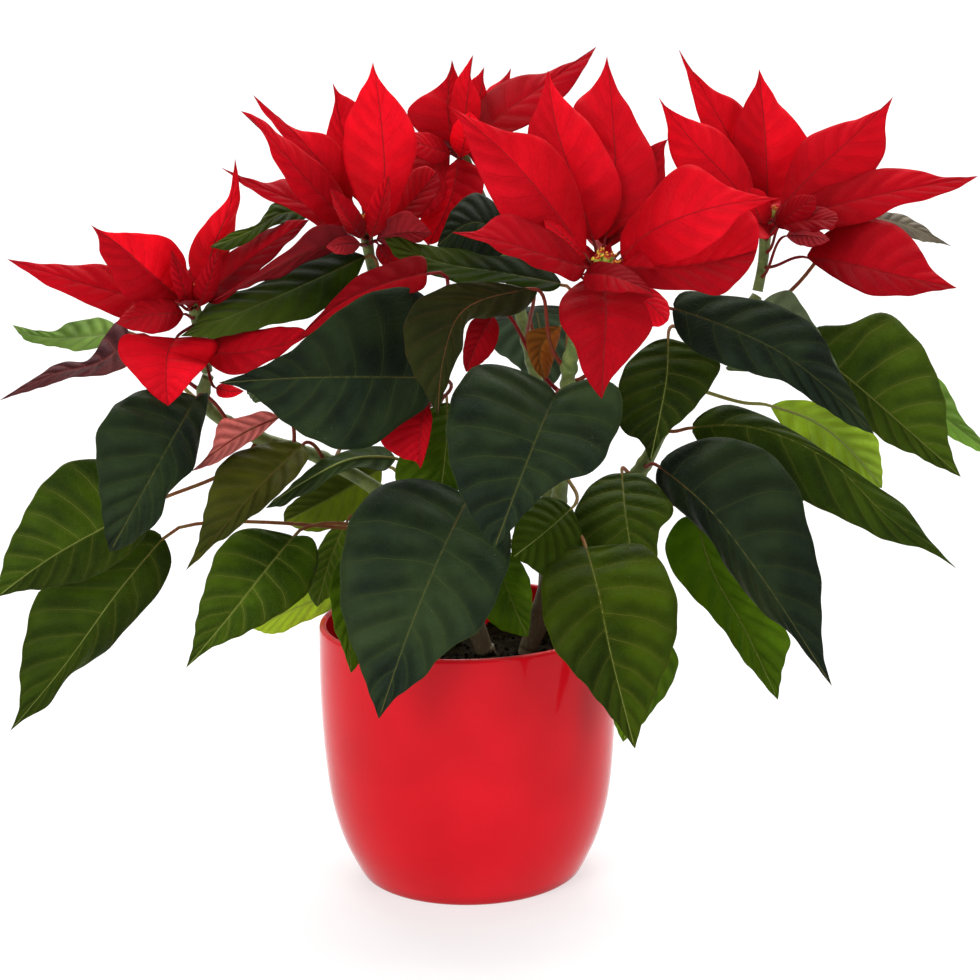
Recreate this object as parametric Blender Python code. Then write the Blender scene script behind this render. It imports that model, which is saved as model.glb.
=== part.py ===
"""A potted poinsettia: a glossy, slightly bellied cover pot, potting soil, one branching stem, green leaves
on stalks, and five heads of pointed red bracts around small cups.

Metres, +Z up. The origin is the centre of the pot's flat underside, and -Y faces the viewer.
"""
import math

import bmesh
import bpy
import numpy as np

for old in list(bpy.data.objects):
    bpy.data.objects.remove(old, do_unlink=True)

# ------------------------------------------------------------------ driving dimensions
POT_HEIGHT = 0.1244
RIM_RADIUS = 0.0700          # outside, at the rim
POT_WALL = 0.0036
POT_FLOOR = 0.0060
FOOT_RADIUS = 0.0516         # flat part of the underside
# outer radius of the pot wall at fractions of its height
POT_OUTLINE = [(0.02, 0.0540), (0.15, 0.0615), (0.30, 0.0665), (0.50, 0.0692), (0.75, 0.0704), (0.96, 0.0701)]
SOIL_LEVEL = 0.1035          # middle of the soil's top
GAP = 0.0003                 # between pieces that lie against each other
POT_STEPS = 40
LEAF_HALF_THICK = 0.0006     # at the midrib, half of the blade's thickness
BRACT_HALF_THICK = 0.0005
STALK_RADIUS = 0.0011
BRACT_STALK_RADIUS = 0.0010
STALK_CLEAR = 0.0011         # from the stem's surface to the stalk's end
BRACT_ROOT = -0.0012         # a bract's stalk starts this deep in its head's axis
STEM_SIDES, STEM_RINGS = 7, 10
# the stem's foot below the soil: the shoots' common root collar, as (u, v, depth, radius) like the shoots
COLLAR = [
    [(486, 646, 8, 3.8), (493, 670, 9, 4.6), (507, 694, 10, 5.0)],
    [(529, 642, 12, 3.8), (521, 669, 11, 4.6), (507, 694, 10, 5.0)],
    [(507, 686, 10, 5.6), (506.5, 704, 10, 6.0), (506, 722, 10, 3.4)],
]

# ------------------------------------------------------------------ front drawing
# Blades, stems and stalks are laid out on a front drawing. On it u runs right and v runs down, both in
# drawing units, and every point also has a depth in millimetres, which grows away from the viewer. The
# drawing is seen from an eye a fixed distance in front of the object and slightly above it.
EYE_DISTANCE = 1.2
EYE_PITCH = math.radians(12.85)
EYE_ROLL = math.radians(1.10)
DRAW_FOCAL = 2554.1
DRAW_CENTRE = 490.0
AIM_X, AIM_Z = 0.0123, 0.1866


def place(u, v, depth):
    """World point, in metres, of drawing point (u, v) at this depth in millimetres."""
    du, dv = u - DRAW_CENTRE, DRAW_CENTRE - v
    c, s = math.cos(EYE_ROLL), math.sin(EYE_ROLL)
    a, b = (c * du + s * dv) / DRAW_FOCAL, (-s * du + c * dv) / DRAW_FOCAL
    cp, sp = math.cos(EYE_PITCH), math.sin(EYE_PITCH)
    eye = np.array([AIM_X, -EYE_DISTANCE * cp, AIM_Z + EYE_DISTANCE * sp])
    ray = np.array([a, cp + b * sp, -sp + b * cp])
    return eye + ray * ((depth / 1000.0 - eye[1]) / ray[1])


# ------------------------------------------------------------------ the shoots
# Each shoot is a list of (u, v, depth, radius in mm). They all leave the short trunk at the soil.
SHOOTS = {
    "A": [(485, 652, 8, 4.4), (462, 590, 4, 4.0), (415, 520, -2, 3.6), (330, 462, -6, 3.2), (245, 432, -9, 3.0), (205, 404, -12, 2.9), (208, 376, -16, 2.7)],
    "B": [(485, 652, 8, 4.4), (456, 575, 8, 3.8), (430, 490, 12, 3.4), (405, 400, 14, 3.1), (386, 330, 12, 2.9), (378, 292, 10, 2.7)],
    "C": [(528, 648, 12, 4.4), (548, 580, 8, 4.0), (560, 490, -8, 3.6), (566, 410, -30, 3.2), (570, 360, -46, 3.0), (575, 338, -54, 2.8)],
    "D": [(528, 648, 12, 4.4), (560, 590, 20, 4.0), (610, 515, 16, 3.7), (648, 458, 6, 3.4), (664, 425, 8, 3.2), (700, 372, 18, 3.0), (738, 325, 26, 2.9), (757, 296, 30, 2.7)],
    "E": [(545, 600, 10, 3.8), (548, 520, 20, 3.5), (545, 430, 36, 3.2), (526, 335, 56, 3.0), (500, 245, 74, 2.7)],
}
# The top of each shoot, which carries the bracts: the same kind of list.
HEAD_AXES = {
    "A": [(207, 371, -17, 2.6), (200, 335, -22, 2.5), (193, 302, -26, 3.2)],
    "B": [(377, 287, 10, 2.6), (370, 258, 8, 2.5), (366, 232, 5, 3.2)],
    "C": [(576, 333, -56, 2.7), (588, 300, -68, 2.6), (602, 268, -78, 3.4)],
    "D": [(757.5, 291, 30, 2.6), (763, 262, 31, 2.5), (766, 222, 32, 3.2)],
    "E": [(498, 240, 75, 2.6), (478, 190, 82, 2.5), (460, 150, 86, 3.2)],
}

# ------------------------------------------------------------------ the blades
# name, what it hangs on, how far along it (0 to 1), midrib points (u, v, depth) from the foot to the tip,
# one margin's points (u, v), the other margin's points (u, v), how many millimetres farther from the
# viewer each margin stands than the midrib, tone, and 1 where the upper side faces the viewer, else -1.
LEAVES = [
    ("leaf_01", "A", 0.93, [(122, 332, 14), (62, 338, 36), (28, 334, 50), (13, 325, 56)], [(110, 321), (92, 318), (70, 323), (52, 331), (25, 328)], [(108, 345), (88, 351), (55, 346), (29, 342), (19, 334)], 16, -14, "pale", 1, ()),
    ("leaf_02", "A", 0.96, [(132, 338, -6), (100, 362, -14), (55, 374, -22), (0, 400, -26)], [(120, 321), (104, 337), (88, 360), (62, 362), (33, 379)], [(128, 364), (108, 373), (80, 378), (55, 383), (26, 392)], 12, -10, "red_dark", 1, ()),
    ("leaf_03", "A", 0.86, [(197, 397, -32), (172, 440, -62), (146, 487, -74), (110, 552, -78)], [(178, 391), (140, 391), (112, 408), (97, 432), (97, 465), (101, 505), (105, 535)], [(208, 392), (203, 425), (195, 465), (168, 496), (152, 526), (128, 545)], -7, 12, "dark", 1, ()),
    ("leaf_04", "A", 0.78, [(152, 503, -24), (105, 527, -34), (52, 557, -40), (-3, 597, -42)], [(135, 474), (95, 459), (65, 464), (40, 487), (24, 514), (6, 552)], [(146, 535), (122, 560), (90, 578), (55, 587), (22, 591)], 8, 6, "mid", 1, ()),
    ("leaf_05", "A", 0.33, [(164, 537, -6), (118, 592, -14), (65, 665, -20), (10, 731, -24)], [(146, 529), (112, 562), (62, 582), (38, 592), (27, 625), (20, 668), (19, 708)], [(171, 562), (154, 598), (130, 626), (102, 658), (68, 678), (50, 702), (28, 716)], 6, 8, "mid", 1, [(215, 522, 0)]),
    ("leaf_06", "A", 0.63, [(303, 444, -21), (262, 484, -44), (224, 527, -59), (186, 570, -66)], [(285, 441), (252, 447), (222, 462), (207, 500), (197, 545)], [(309, 455), (292, 482), (262, 507), (230, 533), (203, 556)], 6, -8, "bronze", 1, ()),
    ("leaf_07", "A", 0.32, [(294, 536, -24), (266, 570, -39), (228, 618, -50), (186, 668, -57)], [(274, 531), (243, 529), (219, 548), (205, 585), (197, 615), (192, 648)], [(312, 538), (319, 560), (308, 592), (284, 612), (244, 634), (210, 649)], 4, 6, "mid", 1, [(330, 523, -14)]),
    ("leaf_08", "A", 0.26, [(345, 588, 14), (300, 606, 26), (252, 628, 32)], [(325, 575), (290, 588), (262, 612)], [(335, 606), (305, 622), (272, 634)], 14, -12, "lime", 1, ()),
    ("leaf_10", "B", 0.67, [(434, 378, -54), (370, 377, -71), (300, 378, -76), (218, 383, -70)], [(430, 300), (400, 287), (360, 297), (322, 324), (285, 354), (248, 372)], [(428, 406), (400, 424), (376, 443), (345, 450), (308, 438), (275, 414), (245, 390)], 10, 4, "dark", 1, ()),
    ("leaf_11", "C", 0.89, [(531, 289, -60), (464, 310, -84), (445, 352, -92), (438, 417, -92)], [(490, 282), (444, 286), (414, 304), (404, 332), (410, 366), (427, 396)], [(538, 290), (520, 312), (490, 318), (469, 323), (461, 350), (447, 382)], -4, 10, "bronze_dark", 1, ()),
    ("leaf_12", "C", 0.74, [(556, 394, -66), (542, 425, -84), (522, 475, -98), (494, 549, -106)], [(548, 384), (518, 369), (478, 364), (456, 388), (446, 425), (450, 465), (463, 500), (478, 528)], [(564, 387), (596, 378), (618, 388), (622, 418), (611, 444), (597, 469), (556, 485), (524, 515), (507, 535)], 6, 6, "dark", 1, ()),
    ("leaf_13", "C", 0.36, [(468, 498, -56), (440, 556, -82), (408, 634, -98), (379, 719, -104)], [(450, 486), (418, 478), (382, 485), (354, 512), (342, 556), (340, 600), (350, 640), (367, 688)], [(484, 499), (506, 518), (512, 545), (502, 585), (481, 628), (446, 652), (420, 680), (394, 700)], 12, 8, "dark", 1, ()),
    ("leaf_14", "A", 0.20, [(378, 545, -24), (352, 600, -50), (351, 673, -64)], [(350, 548), (330, 574), (330, 604), (342, 645)], [(390, 580), (384, 625), (362, 660)], -10, 14, "lit", 1, ()),
    ("leaf_15", "C", 0.30, [(496, 548, -40), (508, 592, -54), (528, 637, -56)], [(480, 570), (478, 600), (495, 626)], [(516, 556), (531, 585), (531, 615)], 6, -6, "lit", 1, ()),
    ("leaf_16", "C", 0.57, [(572, 508, -49), (545, 532, -63), (512, 558, -63)], [(560, 500), (540, 498), (522, 512), (512, 538)], [(582, 540), (566, 566), (546, 576), (526, 564)], 10, -5, "lit", 1, ()),
    ("leaf_17", "D", 0.50, [(622, 473, -18), (625, 510, -37), (630, 545, -45), (634, 592, -50)], [(605, 476), (585, 492), (572, 520), (578, 550), (605, 580)], [(642, 474), (664, 492), (674, 512), (660, 530), (655, 565)], 4, 4, "mid", 1, ()),
    ("leaf_18", "C", 0.38, [(586, 547, -66), (598, 590, -91), (610, 650, -103), (635, 749, -112)], [(568, 548), (546, 566), (541, 600), (553, 646), (585, 685), (612, 718)], [(612, 545), (645, 546), (665, 568), (678, 606), (674, 645), (655, 695), (641, 728)], 1, 6, "lit_front", 1, ()),
    ("leaf_19", "D", 0.36, [(652, 606, -36), (645, 672, -58), (623, 742, -68)], [(620, 630), (608, 690), (615, 725)], [(668, 636), (678, 662), (672, 684), (652, 712), (634, 732)], 4, 8, "lit", 1, ()),
    ("leaf_20", "D", 0.80, [(668, 338, -26), (667, 375, -38), (660, 415, -42), (650, 462, -40)], [(650, 343), (624, 368), (618, 395), (622, 430), (640, 441)], [(690, 345), (720, 362), (710, 388), (688, 415), (664, 437)], 4, 6, "mid", 1, ()),
    ("leaf_21", "D", 0.53, [(658, 466, -14), (705, 505, -42), (755, 568, -58), (832, 686, -62)], [(672, 450), (710, 437), (760, 447), (795, 483), (809, 530), (820, 575), (823, 625), (825, 660)], [(656, 484), (678, 510), (712, 542), (732, 576), (762, 610), (795, 638), (814, 664)], 8, 10, "dark", 1, ()),
    ("leaf_22", "D", 0.45, [(696, 515, 4), (712, 570, -8), (745, 630, -16), (778, 700, -20)], [(678, 520), (665, 548), (684, 588), (716, 620), (738, 652), (763, 684)], [(722, 545), (750, 590), (776, 618), (790, 638), (783, 668)], 6, -4, "lit", 1, ()),
    ("leaf_23", "D", 0.62, [(690, 428, 6), (752, 427, -6), (826, 458, -12), (884, 513, -16), (956, 568, -16)], [(700, 415), (728, 404), (770, 418), (808, 438), (858, 474), (898, 502), (934, 545)], [(705, 450), (745, 478), (802, 500), (845, 520), (885, 540), (925, 550)], 10, -6, "mid", 1, ()),
    ("leaf_24", "D", 0.74, [(770, 406, 26), (824, 428, 32), (882, 488, 34)], [(786, 400), (818, 402), (852, 417), (876, 440), (883, 466)], [(790, 436), (826, 462), (860, 484)], 8, -4, "lime", -1, [(745, 403, 22)]),
    ("leaf_25", "C", 0.84, [(672, 308, -46), (722, 325, -56), (780, 352, -60), (832, 392, -58), (874, 434, -54)], [(680, 293), (720, 294), (770, 303), (815, 328), (842, 375), (866, 418)], [(678, 335), (700, 354), (745, 372), (790, 387), (826, 410), (856, 427)], 12, -6, "dark", 1, ()),
    ("leaf_26", "D", 0.84, [(752, 335, -6), (790, 330, -14), (846, 388, -18)], [(762, 303), (788, 290), (804, 308), (830, 350)], [(765, 355), (800, 375), (830, 388)], 8, -4, "grey", 1, ()),
    ("leaf_27", "D", 0.88, [(806, 344, 8), (858, 386, 2), (908, 430, -4), (961, 477, -6)], [(815, 328), (850, 324), (884, 312), (920, 343), (943, 392), (950, 448)], [(812, 368), (845, 410), (884, 440), (928, 462)], 16, -6, "mid", 1, ()),
    ("leaf_28", "D", 0.92, [(880, 372, 34), (935, 410, 36), (992, 455, 34)], [(905, 360), (945, 385), (962, 418), (982, 440)], [(905, 400), (945, 432), (975, 450)], 10, -6, "pale", 1, ()),
    ("leaf_29", "C", 0.93, [(562, 284, -45), (500, 272, -41), (440, 262, -26), (384, 238, -10)], [(550, 270), (500, 256), (440, 246), (405, 239)], [(552, 291), (510, 284), (458, 284), (424, 273), (398, 257)], 13, -12, "dark_lit", 1, ()),
    ("leaf_30", "E", 0.72, [(512, 244, -8), (476, 222, -14), (437, 246, -10)], [(505, 215), (478, 193), (455, 206), (442, 232)], [(500, 256), (470, 256), (450, 252)], 14, -10, "dark", 1, ()),
    ("leaf_31", "B", 0.97, [(366, 256, -8), (310, 282, -22), (245, 310, -32), (181, 336, -42)], [(345, 251), (300, 264), (255, 285), (208, 303), (194, 325)], [(356, 278), (334, 304), (302, 321), (262, 328), (220, 336)], 18, -14, "dark_lit", 1, ()),
    ("leaf_32", "B", 0.91, [(312, 212, 19), (280, 214, 1), (248, 232, -14), (210, 247, -24)], [(298, 203), (274, 203), (257, 224), (230, 234)], [(300, 222), (275, 226), (252, 240), (228, 249)], 5, -6, "mid", 1, ()),
    ("leaf_33", "D", 0.97, [(872, 217, 48), (912, 227, 58), (951, 246, 64)], [(888, 212), (912, 218), (935, 236)], [(895, 230), (920, 241), (938, 243)], 10, -8, "brown", 1, ()),
    ("leaf_34", "B", 0.42, [(396, 459, -8), (352, 460, -18), (306, 482, -22), (266, 508, -22)], [(385, 447), (350, 450), (312, 468), (280, 494)], [(385, 470), (350, 468), (312, 492), (282, 505)], 12, -12, "lit", -1, ()),
    ("leaf_35", "B", 0.34, [(382, 468, 22), (335, 495, 28), (284, 522, 30)], [(365, 464), (335, 470), (302, 495), (285, 510)], [(378, 492), (350, 518), (318, 532), (296, 528)], 6, -6, "lime", 1, ()),
    ("leaf_09", "B", 0.60, [(447, 402, -22), (446, 445, -36), (440, 498, -42)], [(425, 412), (400, 455), (396, 480), (420, 492)], [(470, 420), (475, 460), (462, 488)], 4, 4, "lit", 1, ()),
    ("leaf_36", "A", 0.27, [(346, 522, 4), (330, 560, 0), (317, 607, -2)], [(330, 530), (312, 565), (308, 592)], [(352, 560), (340, 590), (325, 600)], 4, -4, "mid", 1, ()),
    ("leaf_dry", "C", 0.90, [(561, 326, -31), (541, 347, -37), (545, 379, -38)], [(540, 328), (527, 333), (530, 360), (538, 374)], [(559, 338), (553, 356), (551, 372)], -4, 8, "dry", 1, ()),
    ("bract_leaf_1", "A", 0.70, [(280, 417, -24), (240, 436, -36), (192, 471, -42)], [(265, 411), (238, 418), (220, 420), (211, 450)], [(262, 433), (240, 449), (218, 462)], 6, -6, "pink", -1, ()),
    ("bract_leaf_2", "B", 0.86, [(427, 273, -49), (380, 285, -48), (338, 305, -47), (298, 338, -47)], [(424, 257), (392, 262), (352, 280), (322, 312)], [(424, 288), (388, 298), (352, 308), (322, 330)], 8, -5, "bract", 1, ()),
    ("bract_leaf_3", "B", 0.58, [(426, 402, -44), (420, 435, -50), (420, 469, -52)], [(400, 412), (380, 440), (402, 458), (416, 462)], [(432, 415), (429, 440), (424, 460)], 4, -2, "bract", 1, ()),
    ("bract_leaf_4", "C", 0.80, [(494, 316, -38), (480, 338, -44), (466, 372, -46)], [(472, 320), (464, 345), (463, 362)], [(499, 328), (494, 350), (478, 366)], 4, -2, "bract", 1, ()),
]

BRACTS = {
    "A": [
        (0.9, [(178, 304, -30), (112, 291, -38), (60, 276, -42), (7, 259, -44)], [(150, 286), (108, 266), (60, 264), (26, 262)], [(155, 326), (118, 318), (80, 300), (50, 286), (28, 273)], 8, -8, 1),
        (1.0, [(180, 298, -34), (150, 273, -50), (122, 247, -56), (91, 225, -58)], [(186, 262), (170, 239), (140, 233), (107, 232), (98, 229)], [(160, 306), (125, 297), (110, 270), (100, 252), (98, 237)], 8, -4, 1),
        (0.7, [(176, 338, -34), (168, 352, -44), (166, 376, -50), (168, 406, -50)], [(152, 336), (123, 335), (118, 352), (135, 376), (154, 396)], [(200, 337), (217, 342), (214, 356), (196, 376), (180, 395)], -2, -2, 1),
        (1.0, [(202, 290, -19), (213, 248, -13), (231, 203, -7), (235, 158, -2)], [(188, 262), (193, 240), (208, 220), (228, 197), (233, 175)], [(222, 270), (234, 238), (240, 205), (238, 178)], 2, 8, 1),
        (0.95, [(202, 298, -26), (240, 267, -20), (276, 240, -12), (309, 220, -4)], [(205, 276), (225, 257), (252, 237), (284, 222)], [(216, 304), (246, 284), (268, 262), (292, 240)], 10, -8, 1),
        (0.6, [(205, 352, -30), (240, 353, -42), (280, 345, -46), (312, 333, -44)], [(216, 338), (238, 333), (268, 328), (296, 327)], [(212, 366), (232, 375), (262, 364), (292, 347)], 8, -8, 1),
        (1.0, [(190, 296, -18), (172, 272, 12), (156, 250, 44)], [(188, 270), (174, 252), (162, 243)], [(178, 292), (160, 274), (152, 260)], 10, -14, 1),
        (1.0, [(198, 294, -18), (206, 270, 20), (212, 252, 56)], [(192, 276), (196, 258), (204, 248)], [(212, 285), (222, 268), (220, 254)], -12, 12, 1),
        (0.12, [(216, 388, -28), (228, 391, -34), (244, 391, -36)], [(220, 384), (230, 385), (238, 388)], [(218, 396), (229, 398), (238, 395)], 4, -3, 1),
        (0.95, [(189, 308, -35), (183, 286, -48), (171, 250, -55)], [(177, 296), (171, 271)], [(197, 300), (187, 272)], -4, 6, 1),
        (0.95, [(199, 307, -34), (208, 284, -42), (219, 249, -42)], [(193, 292), (206, 264)], [(213, 298), (222, 269)], -3, 6, 1),
        (0.8, [(184, 314, -37), (158, 314, -52), (116, 323, -63)], [(172, 300), (144, 298)], [(174, 328), (146, 334)], 8, -8, 1),
        (0.75, [(202, 312, -19), (219, 321, -15), (236, 336, -13)], [(212, 302), (228, 314)], [(196, 328), (212, 340), (226, 343)], 4, -4, 1),
    ],
    "B": [
        (1.0, [(346, 221, -2), (312, 185, -12), (276, 144, -20), (241, 111, -24)], [(346, 200), (318, 163), (288, 138), (261, 119)], [(335, 228), (305, 203), (275, 160), (258, 128)], 10, -6, 1),
        (1.0, [(350, 207, 10), (325, 168, 4), (292, 130, 4), (253, 95, 8)], [(354, 175), (330, 139), (300, 129), (270, 113)], [(335, 195), (300, 155), (275, 127), (262, 110)], 8, -2, 1),
        (1.0, [(362, 205, 14), (350, 160, 24), (340, 120, 30), (333, 83, 36)], [(335, 175), (326, 140), (334, 105), (335, 93)], [(375, 160), (366, 115), (350, 99), (338, 91)], -2, 6, 1),
        (1.0, [(374, 222, -5), (384, 180, 0), (381, 120, 8), (373, 62, 16)], [(360, 205), (345, 165), (345, 125), (356, 98), (368, 78)], [(388, 222), (410, 175), (417, 145), (407, 113), (388, 90), (377, 75)], 4, 4, 1),
        (0.9, [(350, 230, 4), (315, 209, 0), (270, 191, -2), (222, 168, 2)], [(330, 205), (290, 179), (262, 182), (240, 176)], [(335, 238), (305, 217), (270, 200), (243, 184)], 10, -8, 1),
        (0.8, [(352, 243, -10), (310, 250, -28), (262, 274, -38), (213, 301, -44)], [(340, 226), (318, 226), (290, 248), (250, 277)], [(335, 252), (300, 265), (265, 283), (235, 291)], -10, 10, -1),
        (0.8, [(376, 240, -2), (402, 232, -12), (432, 233, -18)], [(388, 218), (408, 211), (422, 222)], [(388, 246), (405, 244), (420, 242)], -8, 8, -1),
        (1.0, [(370, 228, 14), (392, 194, 37), (402, 172, 57)], [(378, 198), (388, 176), (395, 166)], [(390, 217), (406, 196), (408, 180)], -10, 12, 1),
        (1.0, [(362, 226, 14), (342, 200, 48), (330, 178, 80)], [(352, 196), (338, 176)], [(348, 216), (330, 196)], -12, 12, 1),
        (0.95, [(363, 238, -7), (350, 222, -24), (330, 189, -36)], [(350, 234), (335, 209)], [(366, 224), (346, 197)], 6, -4, 1),
        (0.95, [(371, 238, -7), (379, 216, -20), (389, 175, -27)], [(364, 222), (375, 191)], [(385, 228), (391, 196)], -4, 6, 1),
        (0.85, [(378, 244, -3), (388, 258, 4), (406, 272, 8)], [(391, 246), (404, 258)], [(376, 256), (390, 271)], 4, 4, 1),
        (0.8, [(361, 244, -9), (346, 244, -24), (326, 247, -34)], [(350, 235), (335, 239)], [(353, 253), (338, 254)], 6, -6, -1),
        (0.95, [(382, 228, 8), (408, 206, 12), (436, 172, 20)], [(388, 206), (404, 180), (424, 166)], [(402, 230), (428, 208), (440, 186)], 6, -6, 1),
    ],
    "C": [
        (1.0, [(586, 256, -83), (550, 205, -90), (500, 148, -94), (447, 105, -92)], [(582, 200), (548, 142), (505, 130), (470, 117)], [(565, 262), (520, 240), (492, 200), (470, 150), (460, 122)], 8, -4, 1),
        (0.95, [(586, 268, -90), (545, 255, -106), (500, 241, -116), (452, 232, -122)], [(570, 245), (535, 222), (498, 216), (478, 230)], [(575, 282), (545, 268), (510, 255), (478, 242)], 12, -8, 1),
        (1.0, [(594, 242, -73), (577, 190, -66), (557, 130, -58), (548, 70, -46)], [(570, 225), (548, 175), (528, 138), (540, 98), (545, 82)], [(612, 226), (622, 195), (611, 158), (585, 118), (562, 97), (552, 81)], 2, 6, 1),
        (1.0, [(605, 240, -70), (615, 190, -57), (613, 120, -42), (607, 56, -28)], [(592, 200), (576, 140), (574, 105), (599, 78)], [(625, 225), (656, 185), (653, 153), (632, 113), (612, 75)], 4, 6, 1),
        (1.0, [(621, 259, -78), (650, 232, -92), (710, 208, -108), (780, 198, -114)], [(622, 233), (650, 195), (688, 164), (728, 186), (760, 196)], [(640, 267), (690, 257), (722, 235), (745, 213), (765, 203)], 12, -8, 1),
        (0.9, [(620, 266, -86), (662, 268, -92), (712, 262, -90), (757, 250, -84)], [(650, 246), (700, 226), (742, 205), (758, 222)], [(640, 285), (690, 291), (722, 294), (741, 278), (752, 264)], 6, -10, 1),
        (0.9, [(602, 279, -88), (606, 310, -102), (604, 350, -112), (602, 399, -118)], [(582, 280), (562, 298), (560, 322), (574, 345), (584, 374), (595, 391)], [(630, 284), (655, 300), (650, 333), (626, 362), (609, 382)], 8, 8, 1),
        (0.9, [(612, 277, -84), (638, 294, -92), (668, 321, -96)], [(640, 284), (664, 297), (670, 310)], [(620, 300), (640, 322), (658, 327)], 6, -4, 1),
        (1.0, [(606, 250, -70), (632, 195, -50), (655, 155, -40), (668, 139, -36)], [(612, 205), (630, 162), (651, 146)], [(640, 225), (664, 185), (664, 150)], 2, 6, 1),
        (1.0, [(600, 252, -68), (592, 225, -36), (590, 200, -4)], [(584, 235), (578, 212), (582, 200)], [(612, 238), (608, 214), (600, 202)], -6, 6, 1),
        (1.0, [(604, 246, -68), (606, 220, -60), (610, 186, -54)], [(590, 226), (596, 202)], [(622, 230), (624, 206)], -4, 6, 1),
        (0.95, [(588, 258, -82), (568, 240, -90), (544, 220, -94)], [(580, 238), (560, 222)], [(572, 262), (552, 244)], 8, -6, 1),
        (0.95, [(622, 250, -66), (640, 234, -76), (662, 218, -84)], [(624, 234), (644, 218)], [(640, 252), (660, 236)], 8, -6, 1),
        (0.85, [(584, 274, -93), (612, 276, -112), (654, 294, -122)], [(596, 262), (628, 268)], [(586, 288), (622, 292)], 8, -8, 1),
    ],
    "D": [
        (1.0, [(755, 211, 24), (725, 175, 18), (690, 138, 14), (659, 98, 12)], [(748, 168), (716, 128), (686, 118), (668, 108)], [(735, 205), (700, 190), (673, 162), (667, 125), (663, 109)], 8, -4, 1),
        (1.0, [(758, 202, 42), (736, 150, 46), (708, 98, 52), (679, 50, 60)], [(760, 155), (745, 108), (715, 90), (692, 70)], [(735, 180), (708, 138), (695, 105), (687, 75)], 6, -2, 1),
        (1.0, [(768, 206, 42), (766, 150, 40), (763, 110, 42), (759, 69, 50)], [(745, 180), (733, 140), (744, 105), (756, 83)], [(802, 185), (810, 147), (790, 115), (767, 84)], 2, 8, 1),
        (0.8, [(780, 208, 24), (820, 167, 22), (858, 132, 26), (893, 97, 32)], [(790, 165), (806, 138), (840, 124), (880, 109)], [(815, 212), (862, 185), (885, 152), (886, 120)], 10, -4, 1),
        (0.55, [(786, 220, 20), (840, 204, 10), (905, 189, 8), (978, 176, 10)], [(810, 190), (860, 173), (900, 169), (945, 177)], [(815, 230), (865, 220), (905, 204), (945, 195)], 10, -8, 1),
        (0.35, [(806, 257, 10), (850, 264, -6), (900, 276, -18), (957, 288, -26)], [(822, 236), (865, 218), (905, 231), (935, 272)], [(825, 272), (860, 292), (905, 294), (938, 291)], 14, -10, 1),
        (0.9, [(772, 224, 20), (800, 221, -6), (838, 220, -24)], [(795, 206), (822, 206), (836, 213)], [(790, 232), (815, 230), (832, 228)], 12, -10, 1),
        (0.85, [(764, 226, 18), (758, 224, -8), (756, 238, -26)], [(742, 218), (742, 228), (748, 235)], [(778, 224), (776, 232), (768, 238)], 0, 0, 1),
        (1.0, [(768, 214, 46), (776, 186, 80), (786, 160, 112)], [(758, 192), (766, 166), (776, 156)], [(786, 204), (798, 178), (796, 162)], -10, 12, 1),
        (1.0, [(760, 212, 46), (742, 190, 76), (726, 165, 102)], [(752, 188), (736, 166)], [(744, 208), (724, 184)], -10, 10, 1),
        (0.95, [(763, 229, 17), (757, 212, 2), (748, 188, -6)], [(750, 222), (742, 200)], [(772, 214), (764, 192)], -4, 6, 1),
        (0.75, [(776, 226, 11), (794, 212, 0), (816, 196, -7)], [(777, 212), (796, 196)], [(794, 228), (814, 212)], 8, -6, 1),
        (0.2, [(786, 236, 14), (806, 236, 2), (830, 240, -8)], [(796, 226), (818, 230)], [(796, 244), (816, 246)], 8, -8, -1),
    ],
    "E": [
        (1.0, [(453, 146, 80), (448, 112, 82), (449, 86, 88), (452, 60, 92)], [(430, 142), (407, 112), (424, 95), (443, 82), (449, 72)], [(472, 122), (464, 90), (456, 72)], 4, 4, 1),
        (1.0, [(460, 146, 80), (466, 110, 76), (469, 82, 78), (473, 55, 82)], [(450, 115), (454, 85), (464, 69)], [(479, 120), (480, 98), (471, 77)], 4, 4, 1),
        (1.0, [(465, 146, 96), (475, 115, 101), (481, 90, 104), (484, 67, 110)], [(462, 115), (468, 86), (479, 74)], [(490, 125), (489, 102), (484, 82)], 4, 4, 1),
        (1.0, [(470, 142, 84), (505, 112, 92), (548, 82, 104), (596, 47, 118)], [(476, 108), (500, 83), (540, 73), (576, 60)], [(495, 138), (526, 127), (556, 103), (580, 76)], 12, -8, 1),
        (1.0, [(468, 140, 96), (490, 105, 120), (511, 68, 140)], [(470, 112), (490, 88), (504, 77)], [(492, 120), (510, 95), (510, 79)], 6, 6, 1),
        (0.95, [(450, 154, 78), (424, 182, 62), (410, 216, 52)], [(425, 150), (401, 165), (399, 195)], [(448, 178), (440, 205), (422, 218)], 6, -4, 1),
        (0.9, [(458, 158, 74), (452, 195, 60), (428, 245, 50)], [(438, 178), (424, 208), (419, 232)], [(482, 172), (480, 200), (455, 226), (438, 242)], 4, -2, 1),
        (0.95, [(468, 154, 80), (500, 162, 72), (530, 185, 68)], [(490, 142), (520, 162)], [(485, 176), (515, 192)], 8, -6, 1),
        (1.0, [(456, 146, 94), (440, 126, 128), (424, 112, 162)], [(444, 116), (430, 106)], [(440, 144), (420, 130), (416, 118)], -8, 8, 1),
        (1.0, [(464, 146, 96), (480, 128, 134), (502, 114, 168)], [(466, 122), (486, 106)], [(488, 140), (506, 126)], -8, 8, 1),
        (0.9, [(451, 154, 74), (430, 147, 62), (400, 138, 55)], [(439, 138), (415, 132)], [(438, 164), (412, 153)], 8, -6, 1),
        (0.9, [(461, 158, 72), (465, 138, 60), (470, 112, 56)], [(450, 142), (456, 122)], [(476, 146), (480, 124)], -4, 6, 1),
    ],
}

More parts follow.
